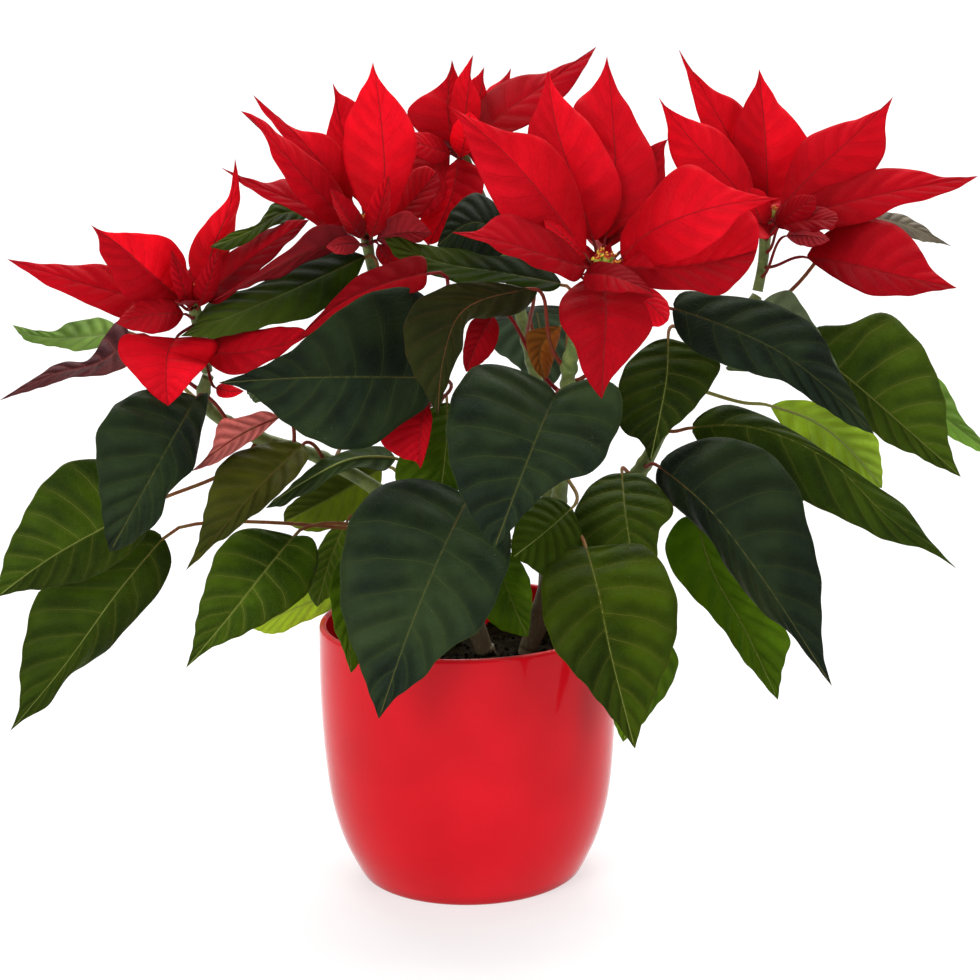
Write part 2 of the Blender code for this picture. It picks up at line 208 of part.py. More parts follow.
# Leaves on the far side: name, shoot, how far along it, foot (u, v, depth), heading and pitch in degrees,
# blade length and width in mm, droop and roll in degrees, tone.
FAR_LEAVES = [
    ("leaf_far_1", "A", 0.60, (345, 398, 52), 122, 22, 104, 74, 66, -8, "mid"),
    ("leaf_far_2", "E", 0.66, (530, 312, 74), 84, 6, 108, 80, 84, 6, "dark"),
    ("leaf_far_3", "D", 0.86, (770, 368, 62), 70, 20, 104, 74, 66, 8, "mid"),
    ("leaf_far_4", "D", 0.44, (715, 500, 52), 58, 20, 100, 72, 62, -10, "lit"),
    ("leaf_far_5", "B", 0.30, (425, 545, 56), 112, 26, 96, 68, 66, 10, "lit"),
    ("leaf_far_6", "E", 0.84, (570, 235, 96), 78, 26, 104, 74, 60, 6, "mid"),
]


# ------------------------------------------------------------------ curves
def smooth(points, count=48):
    """A smooth curve through the points, as count points evenly spaced along it."""
    p = np.asarray(points, float)
    if len(p) == 2:
        p = np.array([p[0], (p[0] + p[1]) / 2, p[1]])
    step = np.linalg.norm(np.diff(p, axis=0), axis=1) ** 0.5 + 1e-9
    knot = np.concatenate([[0], np.cumsum(step)])
    tangent = np.empty_like(p)
    slope = np.diff(p, axis=0) / np.diff(knot)[:, None]
    tangent[1:-1] = (
        slope[:-1] * np.diff(knot)[1:, None] + slope[1:] * np.diff(knot)[:-1, None]
    ) / (knot[2:] - knot[:-2])[:, None]
    tangent[0] = 1.5 * slope[0] - 0.5 * tangent[1]
    tangent[-1] = 1.5 * slope[-1] - 0.5 * tangent[-2]
    t = np.linspace(0, knot[-1], 24 * len(p))
    i = np.clip(np.searchsorted(knot, t, side="right") - 1, 0, len(p) - 2)
    h = (knot[i + 1] - knot[i])[:, None]
    x = ((t - knot[i])[:, None]) / h
    dense = (
        (2 * x**3 - 3 * x**2 + 1) * p[i]
        + (x**3 - 2 * x**2 + x) * h * tangent[i]
        + (-2 * x**3 + 3 * x**2) * p[i + 1]
        + (x**3 - x**2) * h * tangent[i + 1]
    )
    return along(dense, np.linspace(0, 1, count))


def along(path, fractions):
    """Points at these fractions of a polyline's length."""
    length = np.concatenate([[0], np.cumsum(np.linalg.norm(np.diff(path, axis=0), axis=1))])
    where = np.clip(np.asarray(fractions, float), 0, 1) * length[-1]
    return np.stack([np.interp(where, length, path[:, k]) for k in range(path.shape[1])], -1)


def unit(v):
    v = np.asarray(v, float)
    n = np.linalg.norm(v, axis=-1, keepdims=True)
    return v / np.where(n < 1e-12, 1, n)


# ------------------------------------------------------------------ blades as surfaces
class Blade:
    """A blade: its midrib and its two margins as curves in space, all running from the foot to the tip."""

    def __init__(self, mid, left, right, face=1):
        self.mid, self.left, self.right, self.face = mid, left, right, face

    def rows(self, v, skew):
        """Midrib, left and right margin points of the rows that leave the midrib at fractions v."""
        v = np.asarray(v, float)
        w = v + skew * v * (1 - v)
        return along(self.mid, v), along(self.left, w), along(self.right, w)


def drawn_blade(mid, side_1, side_2, deeper_1, deeper_2, face):
    """A blade from its row of the tables above."""
    foot, tip = np.array(mid[0][:2], float), np.array(mid[-1][:2], float)
    axis = smooth([(u, v) for u, v, _ in mid], 40)
    depth = smooth([(u, v, d) for u, v, d in mid], 40)[:, 2]
    edges = []
    for points, deeper in ((side_1, deeper_1), (side_2, deeper_2)):
        flat = smooth([tuple(foot)] + list(points) + [tuple(tip)], 48)
        gap = np.linalg.norm(flat[:, None] - axis[None], axis=2)
        near = gap.argmin(axis=1)
        off = gap.min(axis=1)
        station = np.maximum.accumulate(np.clip(near / 39.0, 0, 1))
        d = np.interp(station, np.linspace(0, 1, 40), depth) + deeper * off / max(off.max(), 1e-9)
        line = np.array([place(u, v, z) for (u, v), z in zip(flat, d)])
        # v runs down, so the mean of this turn is positive on the right-hand side, seen from foot to tip
        ahead = tip - foot
        turn = (ahead[0] * (flat - axis[near])[:, 1] - ahead[1] * (flat - axis[near])[:, 0]).mean()
        edges.append((turn, line))
    edges.sort(key=lambda pair: pair[0])
    line = np.array([place(u, v, z) for (u, v), z in zip(axis, depth)])
    return Blade(line, edges[0][1], edges[1][1], face)


def far_blade(foot, heading, pitch, length, width, droop, roll):
    """A blade that arches over from its foot, with an ovate outline."""
    foot = place(*foot) * 1000
    n = 40
    t = np.linspace(0, 1, n)
    angle = np.radians(pitch - droop * t)
    ahead = np.array([math.cos(math.radians(heading)), math.sin(math.radians(heading)), 0])
    run = np.concatenate([[0], np.cumsum(np.cos(angle[:-1]))]) * length / (n - 1)
    rise = np.concatenate([[0], np.cumsum(np.sin(angle[:-1]))]) * length / (n - 1)
    mid = (np.array(foot)[None] + ahead[None] * run[:, None] + np.array([0, 0, 1.0])[None] * rise[:, None]) / 1000
    right = np.array([ahead[1], -ahead[0], 0.0])
    up = -np.sin(angle)[:, None] * ahead[None] + np.cos(angle)[:, None] * np.array([0, 0, 1.0])[None]
    half = width / 2000.0 * np.sin(np.pi * t**0.72) ** 0.8 * (1 - 0.35 * t)
    edges = []
    for sign in (-1, 1):
        a = math.radians(roll) + sign * math.radians(-14)
        side = sign * math.cos(a) * right[None] + sign * math.sin(a) * up
        edges.append(mid + side * half[:, None])
    return Blade(mid, edges[0], edges[1], 1)


def normals_of(mid, left, right):
    """Unit normals along a blade's midrib, facing the viewer's side of it."""
    ahead = unit(np.gradient(mid, axis=0))
    side = unit(right - left)
    n = unit(np.cross(side, ahead))
    bad = np.linalg.norm(right - left, axis=1) < 1e-5
    if bad.any() and not bad.all():
        good = np.flatnonzero(~bad)
        for i in np.flatnonzero(bad):
            n[i] = n[good[np.abs(good - i).argmin()]]
    return n


def shoot_line(rows):
    """A shoot's centre line and its radii, in metres."""
    line = smooth([(*place(u, v, d), r / 1000) for u, v, d, r in rows], 60)
    return line[:, :3], line[:, 3]


def stalk(blade, line, radius, where, via, clear, count=14):
    """Centre line of the stalk that joins a blade's foot to a shoot, from the shoot to the foot. It starts
    clear metres off the shoot's surface, or inside it where clear is negative."""
    foot = blade.mid[0]
    ahead = unit(blade.mid[3] - blade.mid[0])
    centre = along(line, [where])[0]
    r = float(np.interp(where, np.linspace(0, 1, len(radius)), radius))
    axis = unit(along(line, [min(where + 0.02, 1)])[0] - along(line, [max(where - 0.02, 0)])[0])
    if len(via):
        points = [place(*p) for p in via]
    else:
        points = []
    target = points[0] if points else foot
    out = target - centre
    reach = np.linalg.norm(out)
    out = unit(out - axis * (out @ axis) * 0.75)
    start = centre + out * (r + clear)
    if points:
        return smooth([start] + points + [foot - ahead * 0.004, foot], count)
    t = np.linspace(0, 1, 30)[:, None]
    p1 = start + out * reach * 0.38
    p2 = foot - ahead * reach * 0.34
    curve = (1 - t) ** 3 * start + 3 * (1 - t) ** 2 * t * p1 + 3 * (1 - t) * t**2 * p2 + t**3 * foot
    return along(curve, np.linspace(0, 1, count))


# ------------------------------------------------------------------ the cups in the middle of each head
# One row per cup: distance from the middle in mm, angle in degrees, height of its foot in mm, leaning outward
# in degrees, length in mm, radius in mm. They stand on the head's receptacle, which ends its axis.
RECEPTACLE = 0.0016
CUPS = [(0.0, 0, 0.6, 0, 5.4, 1.8), (3.2, 20, 0.2, 16, 4.8, 1.6), (3.3, 92, 0.2, 20, 4.4, 1.5), (3.2, 163, 0.2, 16, 5.0, 1.6), (3.3, 236, 0.2, 18, 4.2, 1.4), (3.2, 308, 0.2, 18, 4.6, 1.5)]
CUP_SPREAD = {"A": 0.8, "B": 0.8, "C": 1.0, "D": 0.8, "E": 0.8}


def axis_frame(line):
    """The end of a head's axis: its point, its direction and two directions across it."""
    ahead = unit(line[-1] - line[-6])
    a = unit(np.cross(ahead, [0.0, 1.0, 0.15]))
    return line[-1], ahead, a, np.cross(ahead, a)


def cup_places(line, gap, spread):
    """Foot, direction, length and radius of each cup on a head, starting gap metres beyond its axis."""
    top, ahead, a, b = axis_frame(line)
    cups = []
    for out, angle, rise, lean, length, radius in CUPS:
        c, s = math.cos(math.radians(angle)), math.sin(math.radians(angle))
        side = a * c + b * s
        foot = top + ahead * (gap + rise / 1000) + side * out * spread / 1000
        way = unit(ahead * math.cos(math.radians(lean)) + side * math.sin(math.radians(lean)))
        cups.append((foot, way, length / 1000, radius * spread / 1000))
    return cups


# ------------------------------------------------------------------ blades as solids
LEAF_ROWS = (0.06, 0.16, 0.29, 0.43, 0.58, 0.72, 0.85, 0.94)
BRACT_ROWS = (0.09, 0.24, 0.42, 0.61, 0.78, 0.90)
LEAF_SKEW, BRACT_SKEW = 0.55, 0.6


def transported(path, side, normal):
    """Frames along a path that ends with this side and normal, turned as little as possible."""
    ahead = unit(np.gradient(path, axis=0))
    sides = np.empty_like(path)
    s = side - ahead[-1] * (side @ ahead[-1])
    for i in range(len(path) - 1, -1, -1):
        s = unit(s - ahead[i] * (s @ ahead[i]))
        sides[i] = s
    normals = np.cross(sides, ahead)
    return sides, normals


def blade_solid(blade, path, rows, skew, half_thick, stalk_r, stalk_rings):
    """Points and triangles of one closed body: a four-sided stalk along path, then the blade, whose section
    is a flat diamond from margin to margin, then a point."""
    mid, left, right = blade.rows(rows, skew)
    n = normals_of(np.vstack([blade.mid[:1], mid]), np.vstack([left[:1], left]), np.vstack([right[:1], right]))
    n0, side0 = n[1], unit(right[0] - left[0])
    rings = []
    if len(path) > 1:
        pts = along(path, np.linspace(0, 1, stalk_rings + 1))
        sides, normals = transported(pts, side0, n0)
        for i, p in enumerate(pts):
            r = stalk_r * (0.8 if i == 0 else 1.0)
            rings.append([p - sides[i] * r, p + normals[i] * r, p + sides[i] * r, p - normals[i] * r])
    else:
        p = blade.mid[0]
        rings.append([p - side0 * stalk_r, p + n0 * stalk_r, p + side0 * stalk_r, p - n0 * stalk_r])
    for i in range(len(rows)):
        t = half_thick * (1.25 - 0.85 * rows[i])
        rings.append([left[i], mid[i] + n[i + 1] * t, right[i], mid[i] - n[i + 1] * t])
    points = [p for ring in rings for p in ring] + [blade.mid[-1]]
    faces = [(0, 1, 2), (0, 2, 3)]
    # both sides of the blade are split along the same diagonals, so that neither passes through the other
    for k in range(len(rings) - 1):
        for j in range(4):
            a, b = 4 * k + j, 4 * k + (j + 1) % 4
            faces += [(a, a + 4, b + 4), (a, b + 4, b)] if j in (0, 2) else [(a, a + 4, b), (b, a + 4, b + 4)]
    k, tip = 4 * (len(rings) - 1), len(points) - 1
    faces += [(k + j, tip, k + (j + 1) % 4) for j in range(4)]
    points = np.array(points)
    faces = np.array(faces)
    if np.linalg.det(points[faces]).sum() < 0:
        faces = faces[:, ::-1]
    return points, faces


def tube_solid(line, radius, sides, taper_end=True):
    """Points and triangles of a round bar along a line."""
    ahead = unit(np.gradient(line, axis=0))
    s = unit(np.cross(ahead[-1], [0.31, 0.9, 0.1]))
    ss, nn = transported(line, s, np.cross(s, ahead[-1]))
    turn = np.arange(sides) * 2 * math.pi / sides
    points = [p + r * (math.cos(a) * u + math.sin(a) * w) for p, r, u, w in zip(line, radius, ss, nn) for a in turn]
    faces = []
    for k in range(len(line) - 1):
        for j in range(sides):
            a, b = sides * k + j, sides * k + (j + 1) % sides
            faces += [(a, a + sides, b + sides), (a, b + sides, b)]
    m = sides * (len(line) - 1)
    faces += [(0, j, j + 1) for j in range(1, sides - 1)]
    faces += [(m, m + j + 1, m + j) for j in range(1, sides - 1)]
    points = np.array(points)
    faces = np.array(faces)
    if np.linalg.det(points[faces]).sum() < 0:
        faces = faces[:, ::-1]
    return points, faces


# ------------------------------------------------------------------ objects and materials
def material(name, colour, roughness, metallic=0.0, coat=0.0):
    mat = bpy.data.materials.get(name) or bpy.data.materials.new(name)
    mat.use_nodes = True
    shader = mat.node_tree.nodes["Principled BSDF"]
    shader.inputs["Base Color"].default_value = (*colour, 1.0)
    shader.inputs["Roughness"].default_value = roughness
    shader.inputs["Metallic"].default_value = metallic
    shader.inputs["Coat Weight"].default_value = coat
    mat.diffuse_color = (*colour, 1.0)
    return mat


LEAF_COLOURS = {
    "pale": (0.36, 0.50, 0.16), "lime": (0.42, 0.58, 0.12), "lit": (0.16, 0.30, 0.06), "lit_front": (0.12, 0.25, 0.05),
    "mid": (0.07, 0.17, 0.045), "dark": (0.022, 0.070, 0.040), "dark_lit": (0.05, 0.14, 0.04),
    "bronze": (0.13, 0.13, 0.045), "bronze_dark": (0.07, 0.075, 0.035), "red_dark": (0.12, 0.03, 0.03),
    "grey": (0.16, 0.22, 0.13), "brown": (0.17, 0.13, 0.08), "dry": (0.42, 0.16, 0.04), "pink": (0.52, 0.12, 0.12),
    "bract": (0.60, 0.02, 0.03),
}


def new_object(name, points, faces, mat, origin=(0.0, 0.0, 0.0), helper=False, sharp=40.0):
    """A mesh object whose own origin is at this world point."""
    origin = np.array(origin, float)
    bm = bmesh.new()
    verts = [bm.verts.new(p) for p in np.asarray(points) - origin]
    for face in faces:
        bm.faces.new([verts[i] for i in face])
    mesh = bpy.data.meshes.new(name)
    bm.to_mesh(mesh)
    bm.free()
    mesh.materials.append(mat)
    mesh.shade_smooth()
    mesh.set_sharp_from_angle(angle=math.radians(sharp))
    obj = bpy.data.objects.new(name, mesh)
    obj.location = origin
    bpy.context.scene.collection.objects.link(obj)
    obj.parent = root
    if helper:
        obj.hide_render = True
        obj.display_type = "WIRE"
    return obj


def boolean(obj, other, operation):
    step = obj.modifiers.new(f"{operation.lower()} {other.name}", "BOOLEAN")
    step.operation = operation
    step.solver = "EXACT"
    step.object = other


def turned(name, profile, mat, helper=False):
    """A body turned about the pot's axis from a profile of (radius, height) points. The profile runs from the
    axis out along its upper side, and back to the axis along its lower side."""
    mesh = bpy.data.meshes.new(name)
    mesh.from_pydata([(r, 0.0, z) for r, z in profile], [(i, i + 1) for i in range(len(profile) - 1)], [])
    mesh.materials.append(mat)
    obj = bpy.data.objects.new(name, mesh)
    bpy.context.scene.collection.objects.link(obj)
    obj.parent = root
    screw = obj.modifiers.new("turn", "SCREW")
    screw.axis = "Z"
    screw.steps = screw.render_steps = POT_STEPS
    screw.use_merge_vertices = True
    screw.merge_threshold = 0.00001
    screw.use_smooth_shade = True
    if helper:
        obj.hide_render = True
        obj.display_type = "WIRE"
    return obj


def outer_radius(height):
    """The pot's outer radius at this height."""
    at = [0.0] + [f * POT_HEIGHT for f, _ in POT_OUTLINE] + [POT_HEIGHT]
    radius = [POT_OUTLINE[0][1] - 0.0010] + [r for _, r in POT_OUTLINE] + [RIM_RADIUS]
    curve = smooth(list(zip(at, radius)), 80)
    return float(np.interp(height, curve[:, 0], curve[:, 1]))


def quarter(centre, radius, start, end, steps):
    """Points of an arc in the turning plane, from one angle in degrees to another."""
    return [
        (centre[0] + radius * math.cos(math.radians(a)), centre[1] + radius * math.sin(math.radians(a)))
        for a in np.linspace(start, end, steps)
    ]


root = bpy.data.objects.new("poinsettia", None)
root.empty_display_size = 0.05
bpy.context.scene.collection.objects.link(root)

# ------------------------------------------------------------------ pot and soil
glaze = material("red_glaze", (0.42, 0.012, 0.016), 0.08, coat=0.6)
soil_mat = material("potting_soil", (0.022, 0.015, 0.010), 0.95)

wall_heights = [0.16, 0.30, 0.48, 0.70, 0.92]
inner = [(0.0, POT_FLOOR), (outer_radius(0.012) - POT_WALL - 0.005, POT_FLOOR)]
inner += [(outer_radius(0.013) - POT_WALL, POT_FLOOR + 0.006)]
inner += [(outer_radius(f * POT_HEIGHT) - POT_WALL, f * POT_HEIGHT) for f in wall_heights]
rim_mid, rim_r = (RIM_RADIUS - POT_WALL / 2, POT_HEIGHT - POT_WALL / 2), POT_WALL / 2
rim = quarter(rim_mid, rim_r, 180, 0, 5)
outer = [(outer_radius(f * POT_HEIGHT), f * POT_HEIGHT) for f in reversed(wall_heights)]
foot = [(outer_radius(0.006), 0.006), (outer_radius(0.002) - 0.0002, 0.002), (FOOT_RADIUS + 0.0006, 0.0004), (FOOT_RADIUS, 0.0), (0.0, 0.0)]
pot = turned("cover_pot", inner + rim + outer + foot, glaze)

soil_top = [(0.0, SOIL_LEVEL), (0.022, SOIL_LEVEL), (0.045, SOIL_LEVEL - 0.0008), (0.060, SOIL_LEVEL - 0.0018)]
soil_side = [(outer_radius(h) - POT_WALL - GAP, h) for h in (SOIL_LEVEL - 0.0025, 0.076, 0.052, 0.034, 0.020)]
soil_foot = [(outer_radius(0.013) - POT_WALL - GAP - 0.0006, POT_FLOOR + 0.0066), (outer_radius(0.012) - POT_WALL - 0.0056, POT_FLOOR + GAP), (0.0, POT_FLOOR + GAP)]
soil = turned("potting_soil", soil_top + soil_side + soil_foot, soil_mat)


# ------------------------------------------------------------------ stem
def bar(name, rows, extra, mat, helper, rings=STEM_RINGS, sides=STEM_SIDES):
    line, radius = shoot_line(rows)
    t = np.linspace(0, 1, rings)
    points, faces = tube_solid(along(line, t), np.interp(t, np.linspace(0, 1, len(radius)), radius) + extra, sides)
    return new_object(name, points, faces, mat, origin=points.mean(axis=0) if helper else (0, 0, 0), helper=helper)


stem_green = material("stem_green", (0.13, 0.17, 0.05), 0.5)
stem = bar("stem", SHOOTS["A"], 0.0, stem_green, False)
for key in ("B", "C", "D", "E"):
    boolean(stem, bar(f"guide_shoot_{key}", SHOOTS[key], 0.0, stem_green, True), "UNION")
for i, rows in enumerate(COLLAR):
    boolean(stem, bar(f"guide_collar_{i + 1}", rows, 0.0, stem_green, True, rings=4), "UNION")
    boolean(soil, bar(f"cutter_collar_{i + 1}", rows, GAP, soil_mat, True, rings=4), "DIFFERENCE")
for key in ("A", "C"):
    low = [place(*SHOOTS[key][0][:3]), place(*SHOOTS[key][1][:3])]
    way = unit(low[1] - low[0])
    ends = np.array([low[0] - way * GAP, low[0] + way * 0.006])
    points, faces = tube_solid(ends, np.array([SHOOTS[key][0][3]] * 2) / 1000 + GAP, STEM_SIDES)
    boolean(soil, new_object(f"cutter_shoot_{key}", points, faces, soil_mat, origin=ends[0], helper=True), "DIFFERENCE")

# ------------------------------------------------------------------ leaves
LINES = {key: shoot_line(rows) for key, rows in SHOOTS.items()}


def leaf(name, blade, shoot, where, via, tone):
    line, radius = LINES[shoot]
    path = stalk(blade, line, radius, where, via, STALK_CLEAR)
    points, faces = blade_solid(blade, path, LEAF_ROWS, LEAF_SKEW, LEAF_HALF_THICK, STALK_RADIUS, 5)
    mat = material(f"leaf_{tone}", LEAF_COLOURS[tone], 0.45)
    return new_object(name, points, faces, mat, origin=blade.mid[0])


for name, shoot, where, mid, side_1, side_2, deeper_1, deeper_2, tone, face, via in LEAVES:
    leaf(name, drawn_blade(mid, side_1, side_2, deeper_1, deeper_2, face), shoot, where, via, tone)
for name, shoot, where, foot_at, heading, pitch, length, width, droop, roll, tone in FAR_LEAVES:
    leaf(name, far_blade(foot_at, heading, pitch, length, width, droop, roll), shoot, where, (), tone)

# ------------------------------------------------------------------ heads of bracts, and their cups
bract_red = material("bract_red", LEAF_COLOURS["bract"], 0.42)
cup_green = material("cup_green", (0.42, 0.46, 0.08), 0.45)
for key, rows in BRACTS.items():
    line, radius = shoot_line(HEAD_AXES[key])
    t = np.linspace(0, 1, 6)
    top, ahead, _, _ = axis_frame(line)
    axis_line = np.vstack([along(line, t), top + ahead * RECEPTACLE])
    axis_radius = np.append(np.interp(t, np.linspace(0, 1, len(radius)), radius), radius[-1])
    points, faces = tube_solid(axis_line, axis_radius, 8)
    head = new_object(f"head_{key}", points, faces, bract_red, origin=line[0])
    for i, (where, mid, side_1, side_2, deeper_1, deeper_2, face) in enumerate(rows):
        blade = drawn_blade(mid, side_1, side_2, deeper_1, deeper_2, face)
        path = stalk(blade, line, radius, where, (), BRACT_ROOT)
        points, faces = blade_solid(blade, path, BRACT_ROWS, BRACT_SKEW, BRACT_HALF_THICK, BRACT_STALK_RADIUS, 3)
        bract = new_object(f"guide_bract_{key}{i + 1}", points, faces, bract_red, origin=blade.mid[0], helper=True)
        boolean(head, bract, "UNION")
    spread = CUP_SPREAD[key]
    base = np.array([top + ahead * (RECEPTACLE + GAP + h) for h in (0.0, 0.0006, 0.0013)])
    points, faces = tube_solid(base, np.array([0.0032, 0.0038, 0.0032]) * spread, 8)
    cluster = new_object(f"cyathia_{key}", points, faces, cup_green, origin=base[0])
    for i, (at, way, length, r) in enumerate(cup_places(line, RECEPTACLE + GAP, spread)):
        t = np.array([0.0, 0.35, 0.72, 1.0])
        points, faces = tube_solid(at + way * length * t[:, None], np.array([0.6, 1.0, 0.9, 0.45]) * r, 5)
        boolean(cluster, new_object(f"guide_cup_{key}{i + 1}", points, faces, cup_green, origin=at, helper=True), "UNION")
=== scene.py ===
import math

import bpy
import numpy as np
from mathutils import Matrix, Vector


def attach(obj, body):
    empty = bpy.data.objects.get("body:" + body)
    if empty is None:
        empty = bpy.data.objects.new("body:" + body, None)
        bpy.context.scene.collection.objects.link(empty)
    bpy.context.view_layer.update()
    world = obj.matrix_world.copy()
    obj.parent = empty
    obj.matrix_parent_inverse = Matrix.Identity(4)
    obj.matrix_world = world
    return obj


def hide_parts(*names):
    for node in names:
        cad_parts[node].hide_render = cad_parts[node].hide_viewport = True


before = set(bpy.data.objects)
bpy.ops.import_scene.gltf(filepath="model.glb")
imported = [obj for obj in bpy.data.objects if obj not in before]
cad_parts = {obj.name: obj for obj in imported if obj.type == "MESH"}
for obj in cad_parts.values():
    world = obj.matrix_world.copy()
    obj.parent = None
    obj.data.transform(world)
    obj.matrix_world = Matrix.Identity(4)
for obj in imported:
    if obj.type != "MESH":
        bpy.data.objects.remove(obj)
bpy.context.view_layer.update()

# ------------------------------------------------------------------ driving dimensions, as in the CAD part
POT_HEIGHT = 0.1244
RIM_RADIUS = 0.0700
POT_WALL = 0.0036
POT_FLOOR = 0.0060
FOOT_RADIUS = 0.0516
POT_OUTLINE = [(0.02, 0.0540), (0.15, 0.0615), (0.30, 0.0665), (0.50, 0.0692), (0.75, 0.0704), (0.96, 0.0701)]
SOIL_LEVEL = 0.1035
GAP = 0.0003
LEAF_SKEW, BRACT_SKEW = 0.55, 0.6

# ------------------------------------------------------------------ front drawing
# Blades, stems and stalks are laid out on a front drawing. On it u runs right and v runs down, both in
# drawing units, and every point also has a depth in millimetres, which grows away from the viewer. The
# drawing is seen from an eye a fixed distance in front of the object and slightly above it.
EYE_DISTANCE = 1.2
EYE_PITCH = math.radians(12.85)
EYE_ROLL = math.radians(1.10)
DRAW_FOCAL = 2554.1
DRAW_CENTRE = 490.0
AIM_X, AIM_Z = 0.0123, 0.1866


def place(u, v, depth):
    """World point, in metres, of drawing point (u, v) at this depth in millimetres."""
    du, dv = u - DRAW_CENTRE, DRAW_CENTRE - v
    c, s = math.cos(EYE_ROLL), math.sin(EYE_ROLL)
    a, b = (c * du + s * dv) / DRAW_FOCAL, (-s * du + c * dv) / DRAW_FOCAL
    cp, sp = math.cos(EYE_PITCH), math.sin(EYE_PITCH)
    eye = np.array([AIM_X, -EYE_DISTANCE * cp, AIM_Z + EYE_DISTANCE * sp])
    ray = np.array([a, cp + b * sp, -sp + b * cp])
    return eye + ray * ((depth / 1000.0 - eye[1]) / ray[1])


# ------------------------------------------------------------------ the shoots
# Each shoot is a list of (u, v, depth, radius in mm). They all leave the short trunk at the soil.
SHOOTS = {
    "A": [(485, 652, 8, 4.4), (462, 590, 4, 4.0), (415, 520, -2, 3.6), (330, 462, -6, 3.2), (245, 432, -9, 3.0), (205, 404, -12, 2.9), (208, 376, -16, 2.7)],
    "B": [(485, 652, 8, 4.4), (456, 575, 8, 3.8), (430, 490, 12, 3.4), (405, 400, 14, 3.1), (386, 330, 12, 2.9), (378, 292, 10, 2.7)],
    "C": [(528, 648, 12, 4.4), (548, 580, 8, 4.0), (560, 490, -8, 3.6), (566, 410, -30, 3.2), (570, 360, -46, 3.0), (575, 338, -54, 2.8)],
    "D": [(528, 648, 12, 4.4), (560, 590, 20, 4.0), (610, 515, 16, 3.7), (648, 458, 6, 3.4), (664, 425, 8, 3.2), (700, 372, 18, 3.0), (738, 325, 26, 2.9), (757, 296, 30, 2.7)],
    "E": [(545, 600, 10, 3.8), (548, 520, 20, 3.5), (545, 430, 36, 3.2), (526, 335, 56, 3.0), (500, 245, 74, 2.7)],
}
# The top of each shoot, which carries the bracts: the same kind of list.
HEAD_AXES = {
    "A": [(207, 371, -17, 2.6), (200, 335, -22, 2.5), (193, 302, -26, 3.2)],
    "B": [(377, 287, 10, 2.6), (370, 258, 8, 2.5), (366, 232, 5, 3.2)],
    "C": [(576, 333, -56, 2.7), (588, 300, -68, 2.6), (602, 268, -78, 3.4)],
    "D": [(757.5, 291, 30, 2.6), (763, 262, 31, 2.5), (766, 222, 32, 3.2)],
    "E": [(498, 240, 75, 2.6), (478, 190, 82, 2.5), (460, 150, 86, 3.2)],
}

